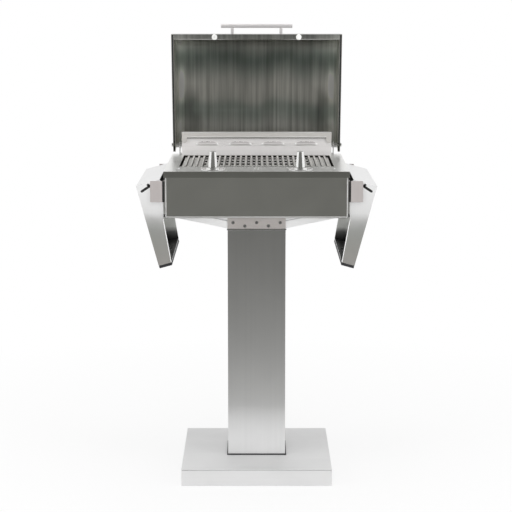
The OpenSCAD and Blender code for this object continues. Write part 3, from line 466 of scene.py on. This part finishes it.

# The photo's zones on the front and rear flanges of a wing and on its inside, painted in by
# height when the wing hangs: painted reflections and painted shade
FLANGE_PAINTED_LIGHT = [(0.64, (0.32, 0.305, 0.29)), (0.7, (0.31, 0.31, 0.29)), (0.74, (0.31, 0.315, 0.3)),
                (0.768, (0.44, 0.44, 0.43)), (0.79, (0.8, 0.8, 0.8)), (0.88, (0.9, 0.9, 0.9))]
INSIDE_PAINTED_LIGHT = [(0.64, (0.03, 0.03, 0.03)), (0.675, (0.02, 0.02, 0.02)), (0.69, (0.9, 0.91, 0.88)),
                (0.78, (0.95, 0.96, 0.93)), (0.8, (0.06, 0.06, 0.06)), (0.88, (0.01, 0.01, 0.01))]

# The column's foot, also painted in: a pale zone of painted light by height. Its share of metal
# reflection rises from FOOT_METAL to the column's own between the two heights of FOOT_Z.
FOOT_PAINTED_LIGHT = [(0.0, (0.74, 0.74, 0.74)), (0.09, (0.74, 0.74, 0.74)), (0.15, (0.72, 0.72, 0.72)),
              (0.24, SHEETS["column"][1]), (0.72, SHEETS["column"][1])]
FOOT_METAL = 0.1
FOOT_Z = (0.085, 0.2)


def hood_steel(name):
    """The hood's sheet, brushed round its bend and streaked, with the photo's zones of painted light and
    shade.

    Towards its ends it is painted brighter, with a patch of painted shade low down and a painted highlight
    band above that.
    """
    s = Shader(name)
    fine = s.noise((1100.0, 7.0, 7.0), detail=4.0, rough=0.65)
    broad = s.noise((120.0, 2.0, 2.0), detail=3.0, rough=0.6, distortion=0.15)
    wide = s.noise((22.0, 3.0, 3.0), detail=3.0)
    up = s.axis("Z")
    side = s.math("ABSOLUTE", s.axis("X"))
    wavy = s.math("ADD", side, s.ranged(s.noise(6.0, detail=2.0), -0.02, 0.02))
    level = s.math("MULTIPLY", s.ranged(broad, 0.76, 1.26), s.ranged(wide, 0.86, 1.14))
    level = s.math("ADD", level, s.ranged(fine, -0.06, 0.06))
    # The painted light and shade: brighter ends, a pale zone, a darker patch and a highlight band
    level = s.math("MULTIPLY", level, s.ranged(wavy, 1.0, 1.6, *BRIGHT_X))
    pale = s.math("MULTIPLY", s.ranged(up, 0.0, 0.5, *PALE_Z), s.ranged(wavy, 0.0, 1.0, *PALE_X))
    level = s.math("ADD", level, pale)
    painted_shade = s.math("MULTIPLY", s.ranged(up, 1.0, 0.0, *SHADE_PATCH_Z),
                    s.near(wavy, SHADE_PATCH_X, 0.4, 0.012, 0.04))
    level = s.math("MULTIPLY", level, s.math("SUBTRACT", 1.0, painted_shade))
    shine = s.math("MULTIPLY", s.near(up, SHINE_Z, 1.0, 0.03, 0.07),
                   s.near(side, SHINE_X, 0.6, 0.003, 0.013))
    level = s.math("MULTIPLY", level, s.math("ADD", 1.0, shine))
    roughness = s.math("ADD", s.ranged(broad, 0.36, 0.31), s.ranged(fine, -0.02, 0.02), clamp=True)
    relief = s.math("ADD", fine, s.math("MULTIPLY", broad, 2.0))
    waved = s.math("ADD", up, s.ranged(s.noise((9.0, 3.0, 3.0), detail=2.0), -0.012, 0.012))
    return s.principled(Base_Color=s.shade(s.ramp(waved, HOOD_PAINTED_LIGHT), level), Metallic=1.0,
                        Roughness=roughness, Normal=s.bump(relief, 0.4, 0.00014))


def sheet_painted_by_height(name, painted_zones, rough, metallic):
    """Brushed sheet whose colour changes with its height on the piece: painted light and shade."""
    s = Shader(name)
    fine = s.noise(GRAIN["z"], detail=4.0, rough=0.65)
    wiped = s.noise(7.0, detail=4.0, rough=0.55, distortion=0.6)
    at = s.math("ADD", s.axis("Z"), s.ranged(wiped, -0.006, 0.006))
    level = s.math("ADD", s.ranged(fine, 0.98, 1.02), s.ranged(wiped, -0.03, 0.03))
    return s.principled(Base_Color=s.shade(s.ramp(at, painted_zones), level), Metallic=metallic,
                        Roughness=s.ranged(fine, rough - 0.04, rough + 0.04),
                        Normal=s.bump(fine, 0.14, SCRATCH_DEPTH))


def column_steel(name):
    """The column's brushed sheet, with a pale zone of painted light just above the base."""
    s = Shader(name)
    grain, _, rough, metal = SHEETS["column"]
    fine, broad, wiped = brushed_marks(s, grain)
    at = s.math("ADD", s.axis("Z"), s.ranged(wiped, -0.004, 0.004))
    level = s.math("ADD", s.ranged(broad, 0.985, 1.015), s.ranged(wiped, -0.025, 0.025))
    return s.principled(Base_Color=s.shade(s.ramp(at, FOOT_PAINTED_LIGHT), level),
                        Metallic=s.ranged(at, FOOT_METAL, metal, *FOOT_Z),
                        Roughness=s.ranged(fine, rough - 0.04, rough + 0.04),
                        Normal=s.bump(fine, 0.1, SCRATCH_DEPTH))


# Dressing the CAD nodes
def shared_finishes():
    """The materials that several nodes share, most of them by the record's slot."""
    return {
        "bright_steel": brushed("bright_steel", (0.8, 0.8, 0.8), 0.17, "z", 0.03),
        "chrome": polished("chrome", (0.9, 0.9, 0.89)),
        "handle": brushed("handle", (0.74, 0.72, 0.72), 0.34, "x", 0.03, 0.05, 0.1, 0.45),
        "galvanised_steel": galvanised("galvanised_steel"),
        "dark_steel": heat_black_and_shade("dark_steel"),
        "cast_plate": cast_plate("cast_plate"),
        "black_rubber": rubber("black_rubber"),
        "white_rubber": rubber("white_rubber", (0.8, 0.8, 0.78), 0.5),
        "black_plastic": plastic("black_plastic", (0.03, 0.03, 0.032)),
        "white_nylon": plastic("white_nylon", (0.82, 0.81, 0.77), 0.4),
        "ceramic": plastic("ceramic", (0.8, 0.78, 0.71), 0.6),
        "wire_sleeve": rubber("wire_sleeve", (0.03, 0.03, 0.03), 0.5),
        "lens": lens("lens"),
        "brass": polished("brass", (0.78, 0.6, 0.3), 0.22),
    }


def finish_of(name, slot, shared):
    """A CAD node's material."""
    if name == "column":
        return column_steel("sheet_column")
    if name == "hood_shell":
        return hood_steel("sheet_hood_shell")
    if name in SHEETS:
        grain, colour, rough, metal = SHEETS[name]
        calm = CALM.get(name, 1.0)
        return brushed("sheet_" + name, colour, rough, grain, SHEET_STREAKS * calm, SHEET_SMUDGE,
                       SHEET_GRAIN * calm, metal)
    return shared[OTHER_FINISH.get(name, slot)]


def dress_nodes():
    """Gives every CAD node its material and shading, and rounds the edges of sheets and a few more."""
    shared = shared_finishes()
    smooth = smooth_by_angle()
    second_finish = {
        "hood_shell": finish_hood, "hood_cap_left": finish_hood, "hood_cap_right": finish_hood,
        "wing_left": finish_wing, "wing_right": finish_wing,
        "deck": finish_lip, "cooking_plate": finish_plate,
    }
    for part in frame["record"]["subparts"]:
        name = part["node"]
        node = nodes[name]
        material = finish_of(name, part["material_slot"], shared)
        node.data.materials.clear()
        node.data.materials.append(material)
        node.modifiers.new("smooth", "NODES").node_group = smooth
        if name in SHEETS or name in BEVELS:
            bevel(node, BEVELS.get(name, BEVEL) * MM)
        if name in second_finish:
            second_finish[name](node)


def bevel(node, width):
    """Small rounded edges, which catch the light as folded sheet does."""
    made = node.modifiers.new("edges", "BEVEL")
    made.width = width
    made.segments = 2
    made.limit_method = "ANGLE"
    made.angle_limit = math.radians(BEVEL_ANGLE)
    made.harden_normals = True


def middle_of(name):
    """The middle of a CAD node's box."""
    lo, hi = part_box(name)
    return (Vector(lo) + Vector(hi)) / 2


def finish_wing(wing):
    """Separate finishes for a wing's inside and for its flanges, with painted light and shade by height."""
    middle = middle_of(wing.name)
    wing.data.materials.append(sheet_painted_by_height("inside_" + wing.name, INSIDE_PAINTED_LIGHT, 0.4, 0.1))
    wing.data.materials.append(sheet_painted_by_height("flange_" + wing.name, FLANGE_PAINTED_LIGHT, 0.42, 0.25))
    for face in wing.data.polygons:
        inward = (middle - face.center).dot(face.normal) > 0
        face.material_index = 1 if inward else 2 if abs(face.normal.y) > 0.9 else 0


def finish_hood(sheet):
    """Plain brushed steel outside on the hood's shell and caps, but not on the front lip."""
    middle = middle_of("hood_shell")
    grain = "x" if sheet.name == "hood_shell" else "z"
    sheet.data.materials.append(brushed("outside_" + sheet.name, (0.66, 0.66, 0.65), 0.34, grain))
    for face in sheet.data.polygons:
        outward = (face.center - middle).dot(face.normal) > 0
        lip = face.normal.y < -0.9
        face.material_index = 1 if outward and not lip else 0


def finish_lip(deck):
    """Painted shade on the deck's front lip: a darker copy of its steel."""
    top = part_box("deck")[1][2]
    deck.data.materials.append(brushed("deck_lip", (0.48, 0.48, 0.45), 0.33, "x", 0.012, 0.04, 0.05))
    for face in deck.data.polygons:
        face.material_index = 1 if face.normal.y < -0.9 and face.center.z < top else 0


def finish_plate(plate):
    """Painted shade on every steep face: dark in the slots and down the sides of the ribs."""
    plate.data.materials.append(heat_black_and_shade("plate_painted_shade", (0.03, 0.028, 0.026)))
    for face in plate.data.polygons:
        face.material_index = 1 if abs(face.normal.z) < 0.5 else 0


def smooth_by_angle():
    """Geometry nodes that weld the mesh and shade it smooth except at sharp edges."""
    group = bpy.data.node_groups.new("smooth_by_angle", "GeometryNodeTree")
    group.interface.new_socket("Geometry", in_out="INPUT", socket_type="NodeSocketGeometry")
    group.interface.new_socket("Geometry", in_out="OUTPUT", socket_type="NodeSocketGeometry")
    made = {}
    for key, kind in (("in", "NodeGroupInput"), ("out", "NodeGroupOutput"),
                      ("clear", "GeometryNodeRemoveAttribute"), ("weld", "GeometryNodeMergeByDistance"),
                      ("faces", "GeometryNodeSetShadeSmooth"), ("edges", "GeometryNodeSetShadeSmooth"),
                      ("angle", "GeometryNodeInputMeshEdgeAngle"), ("less", "FunctionNodeCompare")):
        made[key] = group.nodes.new(kind)
    made["clear"].inputs["Name"].default_value = "custom_normal"
    made["weld"].inputs["Distance"].default_value = WELD
    made["edges"].domain = "EDGE"
    made["less"].operation = "LESS_THAN"
    made["less"].inputs["B"].default_value = math.radians(SMOOTH_ANGLE)
    chain = ["in", "clear", "weld", "faces", "edges", "out"]
    for before, after in zip(chain, chain[1:]):
        group.links.new(made[before].outputs["Geometry"], made[after].inputs["Geometry"])
    group.links.new(made["angle"].outputs["Unsigned Angle"], made["less"].inputs["A"])
    group.links.new(made["less"].outputs["Result"], made["edges"].inputs["Shade Smooth"])
    return group


# Making meshes
def mesh_object(name, bm, material):
    """A new object in the scene, with the mesh in bm."""
    mesh = bpy.data.meshes.new(name)
    bm.to_mesh(mesh)
    bm.free()
    mesh.materials.append(material)
    made = bpy.data.objects.new(name, mesh)
    bpy.context.scene.collection.objects.link(made)
    return made


def add_mesh(name, body, material, build, smooth=True):
    """A new piece built by build(bm), riding on a body."""
    bm = bmesh.new()
    build(bm)
    bmesh.ops.recalc_face_normals(bm, faces=bm.faces)
    piece = mesh_object(name, bm, material)
    for face in piece.data.polygons:
        face.use_smooth = smooth
    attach(piece, body)


def bead(bm, points, radius):
    """A round bead along points that lie in one plane facing the front, with mitred corners."""
    rings = []
    for k, at in enumerate(points):
        a = (at - points[k - 1]).normalized() if k else (points[1] - at).normalized()
        b = (points[k + 1] - at).normalized() if k < len(points) - 1 else a
        along = (a + b).normalized()
        side = along.cross(FRONT)
        stretch = 1 / max(MITRE_LIMIT, along.dot(a))
        rings.append([bm.verts.new(at + radius * (math.cos(t) * stretch * side + math.sin(t) * FRONT))
                      for t in (2 * math.pi * i / BEAD_SIDES for i in range(BEAD_SIDES))])
    for ring, after in zip(rings, rings[1:]):
        for i in range(BEAD_SIDES):
            j = (i + 1) % BEAD_SIDES
            bm.faces.new((ring[i], ring[j], after[j], after[i]))
    bm.faces.new(rings[0])
    bm.faces.new(rings[-1])


def level_bead(bm, x, y, z, radius):
    """A straight bead from -x to x."""
    bead(bm, [Vector((-x, y, z)), Vector((x, y, z))], radius)


def grid(bm, rows):
    """Faces between rows of points."""
    made = [[bm.verts.new(at) for at in row] for row in rows]
    for row, after in zip(made, made[1:]):
        for i in range(len(row) - 1):
            bm.faces.new((row[i], row[i + 1], after[i + 1], after[i]))


def block(bm, centre, size, turn=0.0):
    """A box about centre, turned about the upright axis."""
    spin = Matrix.Translation(centre) @ Matrix.Rotation(turn, 4, "Z")
    bmesh.ops.create_cube(bm, size=1.0, matrix=spin @ Matrix.Diagonal((*size, 1.0)))


def strip(bm, ends, radius, y, thick):
    """A flat round-ended strip between two ends, which are (x, z), on a face at y."""
    start, end = (Vector((x, 0, z)) for x, z in ends)
    along = (end - start).normalized()
    across = along.cross(-FRONT)
    ring = []
    for at, sign in ((start, -1), (end, 1)):
        for k in range(SLOT_SHADOW_STEPS + 1):
            t = math.pi * (k / SLOT_SHADOW_STEPS - 0.5)
            ring.append(at + radius * sign * (math.cos(t) * along + math.sin(t) * across))
    front = [bm.verts.new(p + Vector((0, y - thick, 0))) for p in ring]
    back = [bm.verts.new(p + Vector((0, y + thick, 0))) for p in ring]
    bm.faces.new(front)
    bm.faces.new(back)
    for k in range(len(ring)):
        bm.faces.new((front[k - 1], front[k], back[k], back[k - 1]))


def socket(bm, centre, axis, size):
    """A dark hexagon on a screw head, as painted shade for its socket."""
    radius, depth = size
    turn = Vector(axis).to_track_quat("Z", "Y").to_matrix().to_4x4()
    bmesh.ops.create_cone(bm, cap_ends=True, segments=6, radius1=radius, radius2=radius * SOCKET_TAPER,
                          depth=depth, matrix=Matrix.Translation(centre) @ turn)


def across(steps):
    """Even steps from -1 to 1."""
    return [2 * n / steps - 1 for n in range(steps + 1)]


# Small formed details
def louvre_places():
    """Middle of each louvre slot on the baffle's face."""
    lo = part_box("rear_baffle")[0]
    return [Vector(((i - (LOUVRES - 1) / 2) * LOUVRE_PITCH, lo[1], lo[2] + LOUVRE_UP))
            for i in range(LOUVRES)]


def build_scoops(bm):
    """The pressed scoop over each louvre slot, with a ledge at its top back to the baffle."""
    for middle in louvre_places():
        rows = []
        for k in range(SCOOP_ROWS + 2):
            v = min(k / SCOOP_ROWS, 1.0)
            swell = math.sin(v * math.pi / 2) if k <= SCOOP_ROWS else 0.0
            row = []
            for u in across(SCOOP_STEPS):
                out = SCOOP_OUT * math.sqrt(1 - u ** 4) * swell
                row.append(middle + Vector((u * LOUVRE_L / 2, -out, v * SCOOP_H)))
            rows.append(row)
        grid(bm, rows)


def build_mouths(bm):
    """Painted shade for the mouth above each scoop: a flat grey shape with an uneven upper edge."""
    for middle in louvre_places():
        low, high = [], []
        for u in across(MOUTH_STEPS):
            ragged = 0.75 + 0.25 * math.sin(7 * u + 2) * math.cos(17 * u)
            tall = MOUTH_H * ragged * math.sqrt(1 - 0.8 * u * u)
            x = u * MOUTH_HALF
            low.append(middle + Vector((x, -MOUTH_OUT, SCOOP_H)))
            high.append(middle + Vector((x, -MOUTH_OUT, SCOOP_H + tall)))
        grid(bm, [low, high])


def build_louvre_ends(bm):
    """A small dome at each end of a louvre, painted white as a highlight."""
    for middle in louvre_places():
        for way in (-1, 1):
            at = middle + Vector((way * (LOUVRE_L / 2 - DIMPLE_IN), 0, DIMPLE_UP))
            place = Matrix.Translation(at) @ Matrix.Diagonal((*DIMPLE, 1))
            bmesh.ops.create_uvsphere(bm, u_segments=16, v_segments=8, radius=1.0, matrix=place)


def build_base_seam(bm):
    """The seam along the top of the base's front, where its cover's skirt is folded down."""
    lo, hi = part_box("base_cover")
    level_bead(bm, hi[0] - BEAD_R, lo[1] + SEAM_IN, hi[2] - SEAM_DOWN, BEAD_R)


def build_lip_edge(bm):
    """The bright folded edge of the hood's front lip."""
    lo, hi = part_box("hood_shell")
    level_bead(bm, hi[0] - LIP_END, lo[1] + LIP_DOWN * LIP_SLOPE, hi[2] - LIP_DOWN, LIP_R)


def build_hems(bm):
    """Rolled hems on the front panel's sides and foot, and on the rail's fold and top, painted lighter than
    their sheets as highlights.
    """
    lo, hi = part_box("front_panel")
    x, y = hi[0] - HEM_W / 2, lo[1]
    low, high = lo[2] + HEM_W / 2, hi[2] - PANEL_HEM_DOWN
    bead(bm, [Vector(p) for p in ((-x, y, high), (-x, y, low), (x, y, low), (x, y, high))], BEAD_R)
    lo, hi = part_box("rear_rail")
    y = lo[1] + RAIL_IN
    level_bead(bm, hi[0] - RAIL_TAB, y, hi[2] - RAIL_H + RAIL_FOLD_UP, BEAD_R)
    level_bead(bm, hi[0] - RAIL_END, y, hi[2] - BEAD_R, BEAD_R)


def build_rail_shadow(bm):
    """A dark bead of painted shadow in the gap under the rail."""
    lo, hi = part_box("rear_rail")
    level_bead(bm, hi[0] - RAIL_TAB, lo[1] + SHADOW_R, hi[2] - RAIL_H - SHADOW_DOWN, SHADOW_R)


def build_bracket_shadows(bm):
    """Dark strips of painted shadow between the front wing brackets and the body."""
    lo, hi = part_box("wing_brackets")
    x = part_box("body_tub")[1][0] + SIDE_SHADOW_W / 2 + SIDE_SHADOW_GAP
    for way in (-1, 1):
        block(bm, Vector((way * x, lo[1] - SIDE_SHADOW_OUT, (lo[2] + hi[2]) / 2)),
              (SIDE_SHADOW_W, SIDE_SHADOW_THICK, hi[2] - lo[2]))


def build_wing_hem(bm, wing):
    """The rolled edge of a wing's front flange, from under the pivot to the foot, painted white as a
    highlight.
    """
    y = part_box(wing)[0][1]
    bead(bm, [Vector((WAYS[wing] * x, y, z)) for x, z in (FLANGE_TOP, FLANGE_FOOT)], WING_HEM_R)


def build_slot_shadow(bm, wing):
    """Dark strips of painted shade round the lock slot of each flange, and round its notch."""
    lo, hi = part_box(wing)
    for y in (lo[1], hi[1]):
        for ends in (SLOT, NOTCH):
            strip(bm, [(WAYS[wing] * x, z) for x, z in ends], SLOT_SHADOW_R, y, SLOT_SHADOW_OUT)


def build_sockets(bm):
    """Painted shade for the sockets in the neck screws and the hinge bolts."""
    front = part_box("neck_screws")[0][1]
    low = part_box("saddle")[0][2] + NECK_UP
    places = [(i * NECK_PITCH, low + NECK_RISE) for i in (-1, 0, 1)]
    places += [(i * NECK_PITCH, low) for i in (-0.5, 0.5)]
    for x, z in places:
        for y, way in ((front, -1), (-front, 1)):
            socket(bm, (x, y, z), (0, way, 0), NECK_SOCKET)
    end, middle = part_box("hinge_bolts")[1][0], middle_of("hinge_bolts")
    for way in (-1, 1):
        socket(bm, (way * end, middle.y, middle.z), (way, 0, 0), HINGE_SOCKET)


def build_dial(bm, knob):
    """Tick marks round a knob's bezel."""
    middle = middle_of(knob)
    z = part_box("deck")[1][2] + DIAL_UP
    for k in range(DIAL_TICKS):
        a = math.radians(DIAL_FROM + DIAL_STEP * k)
        tick = (TICK_LONG if k % 5 == 0 else TICK_SHORT, TICK_W, TICK_THICK)
        block(bm, Vector((middle.x + DIAL_R * math.cos(a), middle.y + DIAL_R * math.sin(a), z)), tick, a)


def build_pointer(bm, knob):
    """The inlaid pointer on top of a knob."""
    middle = middle_of(knob)
    block(bm, Vector((middle.x, middle.y - POINTER_FORWARD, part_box(knob)[1][2])), POINTER)


def add_details():
    """Adds the small formed details, each riding on the body that carries it."""
    steel = polished("detail_steel", (0.8, 0.8, 0.79), 0.16)
    # Black serves the printed ticks and pointers, and the painted shade and shadow
    dark = plastic("detail_black", (0.02, 0.02, 0.02), 0.4)
    scoop = brushed("scoop_steel", (0.86, 0.84, 0.83), 0.35, metallic=0.3)
    shade = brushed("mouth_painted_shade", (0.47, 0.45, 0.45), 0.5, streaks=0.5, metallic=0.3)
    painted_glint = brushed("painted_highlight_white", (0.98, 0.98, 0.97), 0.4, metallic=0.05)
    hem = brushed("hem_steel", (0.8, 0.8, 0.79), 0.35, metallic=0.4)
    seam = plastic("detail_seam", (0.46, 0.46, 0.46), 0.5)
    add_mesh("louvre_mouths", "root", shade, build_mouths)
    add_mesh("louvre_scoops", "root", scoop, build_scoops)
    add_mesh("louvre_ends", "root", painted_glint, build_louvre_ends)
    add_mesh("rail_painted_shadow", "root", dark, build_rail_shadow)
    add_mesh("base_seam", "root", seam, build_base_seam)
    add_mesh("lip_edge", "hood", steel, build_lip_edge)
    add_mesh("bracket_painted_shadows", "root", dark, build_bracket_shadows, smooth=False)
    for wing in WAYS:
        add_mesh(wing + "_hem", wing, painted_glint, lambda bm: build_wing_hem(bm, wing))
        add_mesh(wing + "_slot_shadow", wing, dark,
                 lambda bm: build_slot_shadow(bm, wing), smooth=False)
    add_mesh("rolled_hems", "root", hem, build_hems)
    add_mesh("screw_sockets", "root", dark, build_sockets, smooth=False)
    for side in ("left", "right"):
        knob = "knob_" + side
        add_mesh("dial_" + side, "root", dark,
                 lambda bm: build_dial(bm, knob), smooth=False)
        add_mesh("pointer_" + side, knob, dark,
                 lambda bm: build_pointer(bm, knob), smooth=False)


# Studio
def build_floor():
    """The pale floor."""
    bm = bmesh.new()
    turns = [2 * math.pi * k / FLOOR_SIDES for k in range(FLOOR_SIDES)]
    bm.faces.new([bm.verts.new((FLOOR_R * math.cos(a), FLOOR_R * math.sin(a), -FLOOR_DOWN)) for a in turns])
    s = Shader("floor")
    white = s.ranged(s.from_middle(), 1.0 - FLOOR_KEEP, 1.0, *FLOOR_FADE)
    lit = s.node("ShaderNodeBsdfDiffuse", Color=FLOOR_COLOUR)
    glow = s.node("ShaderNodeEmission")
    return mesh_object("floor", bm, s.blend(s.math("MULTIPLY", s.seen(), white), lit, glow))


def build_flag():
    """The dark flag."""
    bm = bmesh.new()
    turns = [math.radians(-90 + FLAG_HALF_ANGLE * k / FLAG_STEPS)
             for k in range(-FLAG_STEPS, FLAG_STEPS + 1)]
    grid(bm, [[Vector((r * math.cos(a), r * math.sin(a), z)) for a in turns] for r, z in FLAG_PATH])
    s = Shader("flag")
    fade = s.ramp(s.from_middle(), [(r, (level, level, level)) for r, level in FLAG_FADE], "LINEAR")
    there = s.math("MAXIMUM", fade, s.ranged(s.axis("Z"), 0.0, 1.0, *FLAG_SOLID))
    clear = s.node("ShaderNodeBsdfTransparent")
    grey = s.node("ShaderNodeEmission", Color=FLAG_COLOUR)
    flag = mesh_object("flag", bm, s.blend(there, clear, grey))
    flag.visible_camera = False
    flag.visible_diffuse = False
    flag.visible_shadow = False
    return flag


def build_stage():
    """The floor and the flag, which aren't part of the grill."""
    floor = build_floor()
    flag = build_flag()


def build_world():
    """White where it is seen, and dimmer where its light falls on things."""
    w = Shader("studio", world=True)
    ambient = w.node("ShaderNodeBackground", Color=(1, 1, 1), Strength=AMBIENT)
    white = w.node("ShaderNodeBackground", Color=(1, 1, 1))
    bpy.context.scene.world = w.blend(w.seen(), ambient, white)


def add_lamp(name, at, size, watts):
    """A soft lamp that reflections don't see."""
    data = bpy.data.lights.new(name, "AREA")
    data.shape = "RECTANGLE"
    data.size, data.size_y = size
    data.energy = watts
    lamp = bpy.data.objects.new(name, data)
    lamp.location = at
    lamp.visible_glossy = False
    lamp.rotation_euler = (Vector(LAMP_TARGET) - Vector(at)).to_track_quat("-Z", "Y").to_euler()
    bpy.context.scene.collection.objects.link(lamp)


def build_camera():
    """The photograph's view."""
    data = bpy.data.cameras.new("camera")
    data.lens = CAMERA_LENS
    data.shift_x, data.shift_y = CAMERA_SHIFT
    data.clip_end = CAMERA_REACH
    camera = bpy.data.objects.new("camera", data)
    camera.location = CAMERA_AT
    camera.rotation_euler = (math.radians(90 - CAMERA_TILT), 0, 0)
    bpy.context.scene.collection.objects.link(camera)
    bpy.context.scene.camera = camera


build_camera()
build_world()
build_stage()
for lamp in LAMPS:
    add_lamp(*lamp)
dress_nodes()
add_details()

bpy.context.scene.view_settings.view_transform = "Standard"
